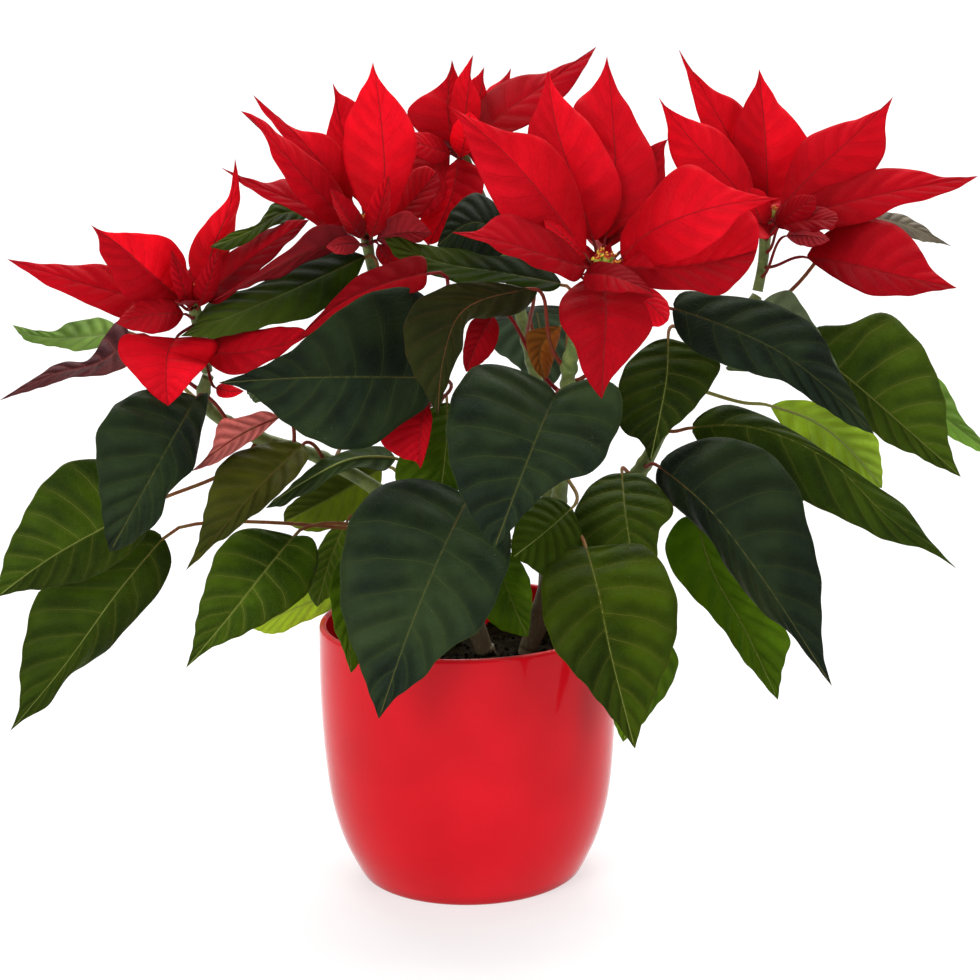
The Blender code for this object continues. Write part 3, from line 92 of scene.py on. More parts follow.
# ------------------------------------------------------------------ the blades
# name, what it hangs on, how far along it (0 to 1), midrib points (u, v, depth) from the foot to the tip,
# one margin's points (u, v), the other margin's points (u, v), how many millimetres farther from the
# viewer each margin stands than the midrib, tone, and 1 where the upper side faces the viewer, else -1.
LEAVES = [
    ("leaf_01", "A", 0.93, [(122, 332, 14), (62, 338, 36), (28, 334, 50), (13, 325, 56)], [(110, 321), (92, 318), (70, 323), (52, 331), (25, 328)], [(108, 345), (88, 351), (55, 346), (29, 342), (19, 334)], 16, -14, "pale", 1, ()),
    ("leaf_02", "A", 0.96, [(132, 338, -6), (100, 362, -14), (55, 374, -22), (0, 400, -26)], [(120, 321), (104, 337), (88, 360), (62, 362), (33, 379)], [(128, 364), (108, 373), (80, 378), (55, 383), (26, 392)], 12, -10, "red_dark", 1, ()),
    ("leaf_03", "A", 0.86, [(197, 397, -32), (172, 440, -62), (146, 487, -74), (110, 552, -78)], [(178, 391), (140, 391), (112, 408), (97, 432), (97, 465), (101, 505), (105, 535)], [(208, 392), (203, 425), (195, 465), (168, 496), (152, 526), (128, 545)], -7, 12, "dark", 1, ()),
    ("leaf_04", "A", 0.78, [(152, 503, -24), (105, 527, -34), (52, 557, -40), (-3, 597, -42)], [(135, 474), (95, 459), (65, 464), (40, 487), (24, 514), (6, 552)], [(146, 535), (122, 560), (90, 578), (55, 587), (22, 591)], 8, 6, "mid", 1, ()),
    ("leaf_05", "A", 0.33, [(164, 537, -6), (118, 592, -14), (65, 665, -20), (10, 731, -24)], [(146, 529), (112, 562), (62, 582), (38, 592), (27, 625), (20, 668), (19, 708)], [(171, 562), (154, 598), (130, 626), (102, 658), (68, 678), (50, 702), (28, 716)], 6, 8, "mid", 1, [(215, 522, 0)]),
    ("leaf_06", "A", 0.63, [(303, 444, -21), (262, 484, -44), (224, 527, -59), (186, 570, -66)], [(285, 441), (252, 447), (222, 462), (207, 500), (197, 545)], [(309, 455), (292, 482), (262, 507), (230, 533), (203, 556)], 6, -8, "bronze", 1, ()),
    ("leaf_07", "A", 0.32, [(294, 536, -24), (266, 570, -39), (228, 618, -50), (186, 668, -57)], [(274, 531), (243, 529), (219, 548), (205, 585), (197, 615), (192, 648)], [(312, 538), (319, 560), (308, 592), (284, 612), (244, 634), (210, 649)], 4, 6, "mid", 1, [(330, 523, -14)]),
    ("leaf_08", "A", 0.26, [(345, 588, 14), (300, 606, 26), (252, 628, 32)], [(325, 575), (290, 588), (262, 612)], [(335, 606), (305, 622), (272, 634)], 14, -12, "lime", 1, ()),
    ("leaf_10", "B", 0.67, [(434, 378, -54), (370, 377, -71), (300, 378, -76), (218, 383, -70)], [(430, 300), (400, 287), (360, 297), (322, 324), (285, 354), (248, 372)], [(428, 406), (400, 424), (376, 443), (345, 450), (308, 438), (275, 414), (245, 390)], 10, 4, "dark", 1, ()),
    ("leaf_11", "C", 0.89, [(531, 289, -60), (464, 310, -84), (445, 352, -92), (438, 417, -92)], [(490, 282), (444, 286), (414, 304), (404, 332), (410, 366), (427, 396)], [(538, 290), (520, 312), (490, 318), (469, 323), (461, 350), (447, 382)], -4, 10, "bronze_dark", 1, ()),
    ("leaf_12", "C", 0.74, [(556, 394, -66), (542, 425, -84), (522, 475, -98), (494, 549, -106)], [(548, 384), (518, 369), (478, 364), (456, 388), (446, 425), (450, 465), (463, 500), (478, 528)], [(564, 387), (596, 378), (618, 388), (622, 418), (611, 444), (597, 469), (556, 485), (524, 515), (507, 535)], 6, 6, "dark", 1, ()),
    ("leaf_13", "C", 0.36, [(468, 498, -56), (440, 556, -82), (408, 634, -98), (379, 719, -104)], [(450, 486), (418, 478), (382, 485), (354, 512), (342, 556), (340, 600), (350, 640), (367, 688)], [(484, 499), (506, 518), (512, 545), (502, 585), (481, 628), (446, 652), (420, 680), (394, 700)], 12, 8, "dark", 1, ()),
    ("leaf_14", "A", 0.20, [(378, 545, -24), (352, 600, -50), (351, 673, -64)], [(350, 548), (330, 574), (330, 604), (342, 645)], [(390, 580), (384, 625), (362, 660)], -10, 14, "lit", 1, ()),
    ("leaf_15", "C", 0.30, [(496, 548, -40), (508, 592, -54), (528, 637, -56)], [(480, 570), (478, 600), (495, 626)], [(516, 556), (531, 585), (531, 615)], 6, -6, "lit", 1, ()),
    ("leaf_16", "C", 0.57, [(572, 508, -49), (545, 532, -63), (512, 558, -63)], [(560, 500), (540, 498), (522, 512), (512, 538)], [(582, 540), (566, 566), (546, 576), (526, 564)], 10, -5, "lit", 1, ()),
    ("leaf_17", "D", 0.50, [(622, 473, -18), (625, 510, -37), (630, 545, -45), (634, 592, -50)], [(605, 476), (585, 492), (572, 520), (578, 550), (605, 580)], [(642, 474), (664, 492), (674, 512), (660, 530), (655, 565)], 4, 4, "mid", 1, ()),
    ("leaf_18", "C", 0.38, [(586, 547, -66), (598, 590, -91), (610, 650, -103), (635, 749, -112)], [(568, 548), (546, 566), (541, 600), (553, 646), (585, 685), (612, 718)], [(612, 545), (645, 546), (665, 568), (678, 606), (674, 645), (655, 695), (641, 728)], 1, 6, "lit_front", 1, ()),
    ("leaf_19", "D", 0.36, [(652, 606, -36), (645, 672, -58), (623, 742, -68)], [(620, 630), (608, 690), (615, 725)], [(668, 636), (678, 662), (672, 684), (652, 712), (634, 732)], 4, 8, "lit", 1, ()),
    ("leaf_20", "D", 0.80, [(668, 338, -26), (667, 375, -38), (660, 415, -42), (650, 462, -40)], [(650, 343), (624, 368), (618, 395), (622, 430), (640, 441)], [(690, 345), (720, 362), (710, 388), (688, 415), (664, 437)], 4, 6, "mid", 1, ()),
    ("leaf_21", "D", 0.53, [(658, 466, -14), (705, 505, -42), (755, 568, -58), (832, 686, -62)], [(672, 450), (710, 437), (760, 447), (795, 483), (809, 530), (820, 575), (823, 625), (825, 660)], [(656, 484), (678, 510), (712, 542), (732, 576), (762, 610), (795, 638), (814, 664)], 8, 10, "dark", 1, ()),
    ("leaf_22", "D", 0.45, [(696, 515, 4), (712, 570, -8), (745, 630, -16), (778, 700, -20)], [(678, 520), (665, 548), (684, 588), (716, 620), (738, 652), (763, 684)], [(722, 545), (750, 590), (776, 618), (790, 638), (783, 668)], 6, -4, "lit", 1, ()),
    ("leaf_23", "D", 0.62, [(690, 428, 6), (752, 427, -6), (826, 458, -12), (884, 513, -16), (956, 568, -16)], [(700, 415), (728, 404), (770, 418), (808, 438), (858, 474), (898, 502), (934, 545)], [(705, 450), (745, 478), (802, 500), (845, 520), (885, 540), (925, 550)], 10, -6, "mid", 1, ()),
    ("leaf_24", "D", 0.74, [(770, 406, 26), (824, 428, 32), (882, 488, 34)], [(786, 400), (818, 402), (852, 417), (876, 440), (883, 466)], [(790, 436), (826, 462), (860, 484)], 8, -4, "lime", -1, [(745, 403, 22)]),
    ("leaf_25", "C", 0.84, [(672, 308, -46), (722, 325, -56), (780, 352, -60), (832, 392, -58), (874, 434, -54)], [(680, 293), (720, 294), (770, 303), (815, 328), (842, 375), (866, 418)], [(678, 335), (700, 354), (745, 372), (790, 387), (826, 410), (856, 427)], 12, -6, "dark", 1, ()),
    ("leaf_26", "D", 0.84, [(752, 335, -6), (790, 330, -14), (846, 388, -18)], [(762, 303), (788, 290), (804, 308), (830, 350)], [(765, 355), (800, 375), (830, 388)], 8, -4, "grey", 1, ()),
    ("leaf_27", "D", 0.88, [(806, 344, 8), (858, 386, 2), (908, 430, -4), (961, 477, -6)], [(815, 328), (850, 324), (884, 312), (920, 343), (943, 392), (950, 448)], [(812, 368), (845, 410), (884, 440), (928, 462)], 16, -6, "mid", 1, ()),
    ("leaf_28", "D", 0.92, [(880, 372, 34), (935, 410, 36), (992, 455, 34)], [(905, 360), (945, 385), (962, 418), (982, 440)], [(905, 400), (945, 432), (975, 450)], 10, -6, "pale", 1, ()),
    ("leaf_29", "C", 0.93, [(562, 284, -45), (500, 272, -41), (440, 262, -26), (384, 238, -10)], [(550, 270), (500, 256), (440, 246), (405, 239)], [(552, 291), (510, 284), (458, 284), (424, 273), (398, 257)], 13, -12, "dark_lit", 1, ()),
    ("leaf_30", "E", 0.72, [(512, 244, -8), (476, 222, -14), (437, 246, -10)], [(505, 215), (478, 193), (455, 206), (442, 232)], [(500, 256), (470, 256), (450, 252)], 14, -10, "dark", 1, ()),
    ("leaf_31", "B", 0.97, [(366, 256, -8), (310, 282, -22), (245, 310, -32), (181, 336, -42)], [(345, 251), (300, 264), (255, 285), (208, 303), (194, 325)], [(356, 278), (334, 304), (302, 321), (262, 328), (220, 336)], 18, -14, "dark_lit", 1, ()),
    ("leaf_32", "B", 0.91, [(312, 212, 19), (280, 214, 1), (248, 232, -14), (210, 247, -24)], [(298, 203), (274, 203), (257, 224), (230, 234)], [(300, 222), (275, 226), (252, 240), (228, 249)], 5, -6, "mid", 1, ()),
    ("leaf_33", "D", 0.97, [(872, 217, 48), (912, 227, 58), (951, 246, 64)], [(888, 212), (912, 218), (935, 236)], [(895, 230), (920, 241), (938, 243)], 10, -8, "brown", 1, ()),
    ("leaf_34", "B", 0.42, [(396, 459, -8), (352, 460, -18), (306, 482, -22), (266, 508, -22)], [(385, 447), (350, 450), (312, 468), (280, 494)], [(385, 470), (350, 468), (312, 492), (282, 505)], 12, -12, "lit", -1, ()),
    ("leaf_35", "B", 0.34, [(382, 468, 22), (335, 495, 28), (284, 522, 30)], [(365, 464), (335, 470), (302, 495), (285, 510)], [(378, 492), (350, 518), (318, 532), (296, 528)], 6, -6, "lime", 1, ()),
    ("leaf_09", "B", 0.60, [(447, 402, -22), (446, 445, -36), (440, 498, -42)], [(425, 412), (400, 455), (396, 480), (420, 492)], [(470, 420), (475, 460), (462, 488)], 4, 4, "lit", 1, ()),
    ("leaf_36", "A", 0.27, [(346, 522, 4), (330, 560, 0), (317, 607, -2)], [(330, 530), (312, 565), (308, 592)], [(352, 560), (340, 590), (325, 600)], 4, -4, "mid", 1, ()),
    ("leaf_dry", "C", 0.90, [(561, 326, -31), (541, 347, -37), (545, 379, -38)], [(540, 328), (527, 333), (530, 360), (538, 374)], [(559, 338), (553, 356), (551, 372)], -4, 8, "dry", 1, ()),
    ("bract_leaf_1", "A", 0.70, [(280, 417, -24), (240, 436, -36), (192, 471, -42)], [(265, 411), (238, 418), (220, 420), (211, 450)], [(262, 433), (240, 449), (218, 462)], 6, -6, "pink", -1, ()),
    ("bract_leaf_2", "B", 0.86, [(427, 273, -49), (380, 285, -48), (338, 305, -47), (298, 338, -47)], [(424, 257), (392, 262), (352, 280), (322, 312)], [(424, 288), (388, 298), (352, 308), (322, 330)], 8, -5, "bract", 1, ()),
    ("bract_leaf_3", "B", 0.58, [(426, 402, -44), (420, 435, -50), (420, 469, -52)], [(400, 412), (380, 440), (402, 458), (416, 462)], [(432, 415), (429, 440), (424, 460)], 4, -2, "bract", 1, ()),
    ("bract_leaf_4", "C", 0.80, [(494, 316, -38), (480, 338, -44), (466, 372, -46)], [(472, 320), (464, 345), (463, 362)], [(499, 328), (494, 350), (478, 366)], 4, -2, "bract", 1, ()),
]

BRACTS = {
    "A": [
        (0.9, [(178, 304, -30), (112, 291, -38), (60, 276, -42), (7, 259, -44)], [(150, 286), (108, 266), (60, 264), (26, 262)], [(155, 326), (118, 318), (80, 300), (50, 286), (28, 273)], 8, -8, 1),
        (1.0, [(180, 298, -34), (150, 273, -50), (122, 247, -56), (91, 225, -58)], [(186, 262), (170, 239), (140, 233), (107, 232), (98, 229)], [(160, 306), (125, 297), (110, 270), (100, 252), (98, 237)], 8, -4, 1),
        (0.7, [(176, 338, -34), (168, 352, -44), (166, 376, -50), (168, 406, -50)], [(152, 336), (123, 335), (118, 352), (135, 376), (154, 396)], [(200, 337), (217, 342), (214, 356), (196, 376), (180, 395)], -2, -2, 1),
        (1.0, [(202, 290, -19), (213, 248, -13), (231, 203, -7), (235, 158, -2)], [(188, 262), (193, 240), (208, 220), (228, 197), (233, 175)], [(222, 270), (234, 238), (240, 205), (238, 178)], 2, 8, 1),
        (0.95, [(202, 298, -26), (240, 267, -20), (276, 240, -12), (309, 220, -4)], [(205, 276), (225, 257), (252, 237), (284, 222)], [(216, 304), (246, 284), (268, 262), (292, 240)], 10, -8, 1),
        (0.6, [(205, 352, -30), (240, 353, -42), (280, 345, -46), (312, 333, -44)], [(216, 338), (238, 333), (268, 328), (296, 327)], [(212, 366), (232, 375), (262, 364), (292, 347)], 8, -8, 1),
        (1.0, [(190, 296, -18), (172, 272, 12), (156, 250, 44)], [(188, 270), (174, 252), (162, 243)], [(178, 292), (160, 274), (152, 260)], 10, -14, 1),
        (1.0, [(198, 294, -18), (206, 270, 20), (212, 252, 56)], [(192, 276), (196, 258), (204, 248)], [(212, 285), (222, 268), (220, 254)], -12, 12, 1),
        (0.12, [(216, 388, -28), (228, 391, -34), (244, 391, -36)], [(220, 384), (230, 385), (238, 388)], [(218, 396), (229, 398), (238, 395)], 4, -3, 1),
        (0.95, [(189, 308, -35), (183, 286, -48), (171, 250, -55)], [(177, 296), (171, 271)], [(197, 300), (187, 272)], -4, 6, 1),
        (0.95, [(199, 307, -34), (208, 284, -42), (219, 249, -42)], [(193, 292), (206, 264)], [(213, 298), (222, 269)], -3, 6, 1),
        (0.8, [(184, 314, -37), (158, 314, -52), (116, 323, -63)], [(172, 300), (144, 298)], [(174, 328), (146, 334)], 8, -8, 1),
        (0.75, [(202, 312, -19), (219, 321, -15), (236, 336, -13)], [(212, 302), (228, 314)], [(196, 328), (212, 340), (226, 343)], 4, -4, 1),
    ],
    "B": [
        (1.0, [(346, 221, -2), (312, 185, -12), (276, 144, -20), (241, 111, -24)], [(346, 200), (318, 163), (288, 138), (261, 119)], [(335, 228), (305, 203), (275, 160), (258, 128)], 10, -6, 1),
        (1.0, [(350, 207, 10), (325, 168, 4), (292, 130, 4), (253, 95, 8)], [(354, 175), (330, 139), (300, 129), (270, 113)], [(335, 195), (300, 155), (275, 127), (262, 110)], 8, -2, 1),
        (1.0, [(362, 205, 14), (350, 160, 24), (340, 120, 30), (333, 83, 36)], [(335, 175), (326, 140), (334, 105), (335, 93)], [(375, 160), (366, 115), (350, 99), (338, 91)], -2, 6, 1),
        (1.0, [(374, 222, -5), (384, 180, 0), (381, 120, 8), (373, 62, 16)], [(360, 205), (345, 165), (345, 125), (356, 98), (368, 78)], [(388, 222), (410, 175), (417, 145), (407, 113), (388, 90), (377, 75)], 4, 4, 1),
        (0.9, [(350, 230, 4), (315, 209, 0), (270, 191, -2), (222, 168, 2)], [(330, 205), (290, 179), (262, 182), (240, 176)], [(335, 238), (305, 217), (270, 200), (243, 184)], 10, -8, 1),
        (0.8, [(352, 243, -10), (310, 250, -28), (262, 274, -38), (213, 301, -44)], [(340, 226), (318, 226), (290, 248), (250, 277)], [(335, 252), (300, 265), (265, 283), (235, 291)], -10, 10, -1),
        (0.8, [(376, 240, -2), (402, 232, -12), (432, 233, -18)], [(388, 218), (408, 211), (422, 222)], [(388, 246), (405, 244), (420, 242)], -8, 8, -1),
        (1.0, [(370, 228, 14), (392, 194, 37), (402, 172, 57)], [(378, 198), (388, 176), (395, 166)], [(390, 217), (406, 196), (408, 180)], -10, 12, 1),
        (1.0, [(362, 226, 14), (342, 200, 48), (330, 178, 80)], [(352, 196), (338, 176)], [(348, 216), (330, 196)], -12, 12, 1),
        (0.95, [(363, 238, -7), (350, 222, -24), (330, 189, -36)], [(350, 234), (335, 209)], [(366, 224), (346, 197)], 6, -4, 1),
        (0.95, [(371, 238, -7), (379, 216, -20), (389, 175, -27)], [(364, 222), (375, 191)], [(385, 228), (391, 196)], -4, 6, 1),
        (0.85, [(378, 244, -3), (388, 258, 4), (406, 272, 8)], [(391, 246), (404, 258)], [(376, 256), (390, 271)], 4, 4, 1),
        (0.8, [(361, 244, -9), (346, 244, -24), (326, 247, -34)], [(350, 235), (335, 239)], [(353, 253), (338, 254)], 6, -6, -1),
        (0.95, [(382, 228, 8), (408, 206, 12), (436, 172, 20)], [(388, 206), (404, 180), (424, 166)], [(402, 230), (428, 208), (440, 186)], 6, -6, 1),
    ],
    "C": [
        (1.0, [(586, 256, -83), (550, 205, -90), (500, 148, -94), (447, 105, -92)], [(582, 200), (548, 142), (505, 130), (470, 117)], [(565, 262), (520, 240), (492, 200), (470, 150), (460, 122)], 8, -4, 1),
        (0.95, [(586, 268, -90), (545, 255, -106), (500, 241, -116), (452, 232, -122)], [(570, 245), (535, 222), (498, 216), (478, 230)], [(575, 282), (545, 268), (510, 255), (478, 242)], 12, -8, 1),
        (1.0, [(594, 242, -73), (577, 190, -66), (557, 130, -58), (548, 70, -46)], [(570, 225), (548, 175), (528, 138), (540, 98), (545, 82)], [(612, 226), (622, 195), (611, 158), (585, 118), (562, 97), (552, 81)], 2, 6, 1),
        (1.0, [(605, 240, -70), (615, 190, -57), (613, 120, -42), (607, 56, -28)], [(592, 200), (576, 140), (574, 105), (599, 78)], [(625, 225), (656, 185), (653, 153), (632, 113), (612, 75)], 4, 6, 1),
        (1.0, [(621, 259, -78), (650, 232, -92), (710, 208, -108), (780, 198, -114)], [(622, 233), (650, 195), (688, 164), (728, 186), (760, 196)], [(640, 267), (690, 257), (722, 235), (745, 213), (765, 203)], 12, -8, 1),
        (0.9, [(620, 266, -86), (662, 268, -92), (712, 262, -90), (757, 250, -84)], [(650, 246), (700, 226), (742, 205), (758, 222)], [(640, 285), (690, 291), (722, 294), (741, 278), (752, 264)], 6, -10, 1),
        (0.9, [(602, 279, -88), (606, 310, -102), (604, 350, -112), (602, 399, -118)], [(582, 280), (562, 298), (560, 322), (574, 345), (584, 374), (595, 391)], [(630, 284), (655, 300), (650, 333), (626, 362), (609, 382)], 8, 8, 1),
        (0.9, [(612, 277, -84), (638, 294, -92), (668, 321, -96)], [(640, 284), (664, 297), (670, 310)], [(620, 300), (640, 322), (658, 327)], 6, -4, 1),
        (1.0, [(606, 250, -70), (632, 195, -50), (655, 155, -40), (668, 139, -36)], [(612, 205), (630, 162), (651, 146)], [(640, 225), (664, 185), (664, 150)], 2, 6, 1),
        (1.0, [(600, 252, -68), (592, 225, -36), (590, 200, -4)], [(584, 235), (578, 212), (582, 200)], [(612, 238), (608, 214), (600, 202)], -6, 6, 1),
        (1.0, [(604, 246, -68), (606, 220, -60), (610, 186, -54)], [(590, 226), (596, 202)], [(622, 230), (624, 206)], -4, 6, 1),
        (0.95, [(588, 258, -82), (568, 240, -90), (544, 220, -94)], [(580, 238), (560, 222)], [(572, 262), (552, 244)], 8, -6, 1),
        (0.95, [(622, 250, -66), (640, 234, -76), (662, 218, -84)], [(624, 234), (644, 218)], [(640, 252), (660, 236)], 8, -6, 1),
        (0.85, [(584, 274, -93), (612, 276, -112), (654, 294, -122)], [(596, 262), (628, 268)], [(586, 288), (622, 292)], 8, -8, 1),
    ],
    "D": [
        (1.0, [(755, 211, 24), (725, 175, 18), (690, 138, 14), (659, 98, 12)], [(748, 168), (716, 128), (686, 118), (668, 108)], [(735, 205), (700, 190), (673, 162), (667, 125), (663, 109)], 8, -4, 1),
        (1.0, [(758, 202, 42), (736, 150, 46), (708, 98, 52), (679, 50, 60)], [(760, 155), (745, 108), (715, 90), (692, 70)], [(735, 180), (708, 138), (695, 105), (687, 75)], 6, -2, 1),
        (1.0, [(768, 206, 42), (766, 150, 40), (763, 110, 42), (759, 69, 50)], [(745, 180), (733, 140), (744, 105), (756, 83)], [(802, 185), (810, 147), (790, 115), (767, 84)], 2, 8, 1),
        (0.8, [(780, 208, 24), (820, 167, 22), (858, 132, 26), (893, 97, 32)], [(790, 165), (806, 138), (840, 124), (880, 109)], [(815, 212), (862, 185), (885, 152), (886, 120)], 10, -4, 1),
        (0.55, [(786, 220, 20), (840, 204, 10), (905, 189, 8), (978, 176, 10)], [(810, 190), (860, 173), (900, 169), (945, 177)], [(815, 230), (865, 220), (905, 204), (945, 195)], 10, -8, 1),
        (0.35, [(806, 257, 10), (850, 264, -6), (900, 276, -18), (957, 288, -26)], [(822, 236), (865, 218), (905, 231), (935, 272)], [(825, 272), (860, 292), (905, 294), (938, 291)], 14, -10, 1),
        (0.9, [(772, 224, 20), (800, 221, -6), (838, 220, -24)], [(795, 206), (822, 206), (836, 213)], [(790, 232), (815, 230), (832, 228)], 12, -10, 1),
        (0.85, [(764, 226, 18), (758, 224, -8), (756, 238, -26)], [(742, 218), (742, 228), (748, 235)], [(778, 224), (776, 232), (768, 238)], 0, 0, 1),
        (1.0, [(768, 214, 46), (776, 186, 80), (786, 160, 112)], [(758, 192), (766, 166), (776, 156)], [(786, 204), (798, 178), (796, 162)], -10, 12, 1),
        (1.0, [(760, 212, 46), (742, 190, 76), (726, 165, 102)], [(752, 188), (736, 166)], [(744, 208), (724, 184)], -10, 10, 1),
        (0.95, [(763, 229, 17), (757, 212, 2), (748, 188, -6)], [(750, 222), (742, 200)], [(772, 214), (764, 192)], -4, 6, 1),
        (0.75, [(776, 226, 11), (794, 212, 0), (816, 196, -7)], [(777, 212), (796, 196)], [(794, 228), (814, 212)], 8, -6, 1),
        (0.2, [(786, 236, 14), (806, 236, 2), (830, 240, -8)], [(796, 226), (818, 230)], [(796, 244), (816, 246)], 8, -8, -1),
    ],
    "E": [
        (1.0, [(453, 146, 80), (448, 112, 82), (449, 86, 88), (452, 60, 92)], [(430, 142), (407, 112), (424, 95), (443, 82), (449, 72)], [(472, 122), (464, 90), (456, 72)], 4, 4, 1),
        (1.0, [(460, 146, 80), (466, 110, 76), (469, 82, 78), (473, 55, 82)], [(450, 115), (454, 85), (464, 69)], [(479, 120), (480, 98), (471, 77)], 4, 4, 1),
        (1.0, [(465, 146, 96), (475, 115, 101), (481, 90, 104), (484, 67, 110)], [(462, 115), (468, 86), (479, 74)], [(490, 125), (489, 102), (484, 82)], 4, 4, 1),
        (1.0, [(470, 142, 84), (505, 112, 92), (548, 82, 104), (596, 47, 118)], [(476, 108), (500, 83), (540, 73), (576, 60)], [(495, 138), (526, 127), (556, 103), (580, 76)], 12, -8, 1),
        (1.0, [(468, 140, 96), (490, 105, 120), (511, 68, 140)], [(470, 112), (490, 88), (504, 77)], [(492, 120), (510, 95), (510, 79)], 6, 6, 1),
        (0.95, [(450, 154, 78), (424, 182, 62), (410, 216, 52)], [(425, 150), (401, 165), (399, 195)], [(448, 178), (440, 205), (422, 218)], 6, -4, 1),
        (0.9, [(458, 158, 74), (452, 195, 60), (428, 245, 50)], [(438, 178), (424, 208), (419, 232)], [(482, 172), (480, 200), (455, 226), (438, 242)], 4, -2, 1),
        (0.95, [(468, 154, 80), (500, 162, 72), (530, 185, 68)], [(490, 142), (520, 162)], [(485, 176), (515, 192)], 8, -6, 1),
        (1.0, [(456, 146, 94), (440, 126, 128), (424, 112, 162)], [(444, 116), (430, 106)], [(440, 144), (420, 130), (416, 118)], -8, 8, 1),
        (1.0, [(464, 146, 96), (480, 128, 134), (502, 114, 168)], [(466, 122), (486, 106)], [(488, 140), (506, 126)], -8, 8, 1),
        (0.9, [(451, 154, 74), (430, 147, 62), (400, 138, 55)], [(439, 138), (415, 132)], [(438, 164), (412, 153)], 8, -6, 1),
        (0.9, [(461, 158, 72), (465, 138, 60), (470, 112, 56)], [(450, 142), (456, 122)], [(476, 146), (480, 124)], -4, 6, 1),
    ],
}

# Leaves on the far side: name, shoot, how far along it, foot (u, v, depth), heading and pitch in degrees,
# blade length and width in mm, droop and roll in degrees, tone.
FAR_LEAVES = [
    ("leaf_far_1", "A", 0.60, (345, 398, 52), 122, 22, 104, 74, 66, -8, "mid"),
    ("leaf_far_2", "E", 0.66, (530, 312, 74), 84, 6, 108, 80, 84, 6, "dark"),
    ("leaf_far_3", "D", 0.86, (770, 368, 62), 70, 20, 104, 74, 66, 8, "mid"),
    ("leaf_far_4", "D", 0.44, (715, 500, 52), 58, 20, 100, 72, 62, -10, "lit"),
    ("leaf_far_5", "B", 0.30, (425, 545, 56), 112, 26, 96, 68, 66, 10, "lit"),
    ("leaf_far_6", "E", 0.84, (570, 235, 96), 78, 26, 104, 74, 60, 6, "mid"),
]


# ------------------------------------------------------------------ curves
def smooth(points, count=48):
    """A smooth curve through the points, as count points evenly spaced along it."""
    p = np.asarray(points, float)
    if len(p) == 2:
        p = np.array([p[0], (p[0] + p[1]) / 2, p[1]])
    step = np.linalg.norm(np.diff(p, axis=0), axis=1) ** 0.5 + 1e-9
    knot = np.concatenate([[0], np.cumsum(step)])
    tangent = np.empty_like(p)
    slope = np.diff(p, axis=0) / np.diff(knot)[:, None]
    tangent[1:-1] = (
        slope[:-1] * np.diff(knot)[1:, None] + slope[1:] * np.diff(knot)[:-1, None]
    ) / (knot[2:] - knot[:-2])[:, None]
    tangent[0] = 1.5 * slope[0] - 0.5 * tangent[1]
    tangent[-1] = 1.5 * slope[-1] - 0.5 * tangent[-2]
    t = np.linspace(0, knot[-1], 24 * len(p))
    i = np.clip(np.searchsorted(knot, t, side="right") - 1, 0, len(p) - 2)
    h = (knot[i + 1] - knot[i])[:, None]
    x = ((t - knot[i])[:, None]) / h
    dense = (
        (2 * x**3 - 3 * x**2 + 1) * p[i]
        + (x**3 - 2 * x**2 + x) * h * tangent[i]
        + (-2 * x**3 + 3 * x**2) * p[i + 1]
        + (x**3 - x**2) * h * tangent[i + 1]
    )
    return along(dense, np.linspace(0, 1, count))


def along(path, fractions):
    """Points at these fractions of a polyline's length."""
    length = np.concatenate([[0], np.cumsum(np.linalg.norm(np.diff(path, axis=0), axis=1))])
    where = np.clip(np.asarray(fractions, float), 0, 1) * length[-1]
    return np.stack([np.interp(where, length, path[:, k]) for k in range(path.shape[1])], -1)


def unit(v):
    v = np.asarray(v, float)
    n = np.linalg.norm(v, axis=-1, keepdims=True)
    return v / np.where(n < 1e-12, 1, n)


# ------------------------------------------------------------------ blades as surfaces
class Blade:
    """A blade: its midrib and its two margins as curves in space, all running from the foot to the tip."""

    def __init__(self, mid, left, right, face=1):
        self.mid, self.left, self.right, self.face = mid, left, right, face

    def rows(self, v, skew):
        """Midrib, left and right margin points of the rows that leave the midrib at fractions v."""
        v = np.asarray(v, float)
        w = v + skew * v * (1 - v)
        return along(self.mid, v), along(self.left, w), along(self.right, w)


def drawn_blade(mid, side_1, side_2, deeper_1, deeper_2, face):
    """A blade from its row of the tables above."""
    foot, tip = np.array(mid[0][:2], float), np.array(mid[-1][:2], float)
    axis = smooth([(u, v) for u, v, _ in mid], 40)
    depth = smooth([(u, v, d) for u, v, d in mid], 40)[:, 2]
    edges = []
    for points, deeper in ((side_1, deeper_1), (side_2, deeper_2)):
        flat = smooth([tuple(foot)] + list(points) + [tuple(tip)], 48)
        gap = np.linalg.norm(flat[:, None] - axis[None], axis=2)
        near = gap.argmin(axis=1)
        off = gap.min(axis=1)
        station = np.maximum.accumulate(np.clip(near / 39.0, 0, 1))
        d = np.interp(station, np.linspace(0, 1, 40), depth) + deeper * off / max(off.max(), 1e-9)
        line = np.array([place(u, v, z) for (u, v), z in zip(flat, d)])
        # v runs down, so the mean of this turn is positive on the right-hand side, seen from foot to tip
        ahead = tip - foot
        turn = (ahead[0] * (flat - axis[near])[:, 1] - ahead[1] * (flat - axis[near])[:, 0]).mean()
        edges.append((turn, line))
    edges.sort(key=lambda pair: pair[0])
    line = np.array([place(u, v, z) for (u, v), z in zip(axis, depth)])
    return Blade(line, edges[0][1], edges[1][1], face)


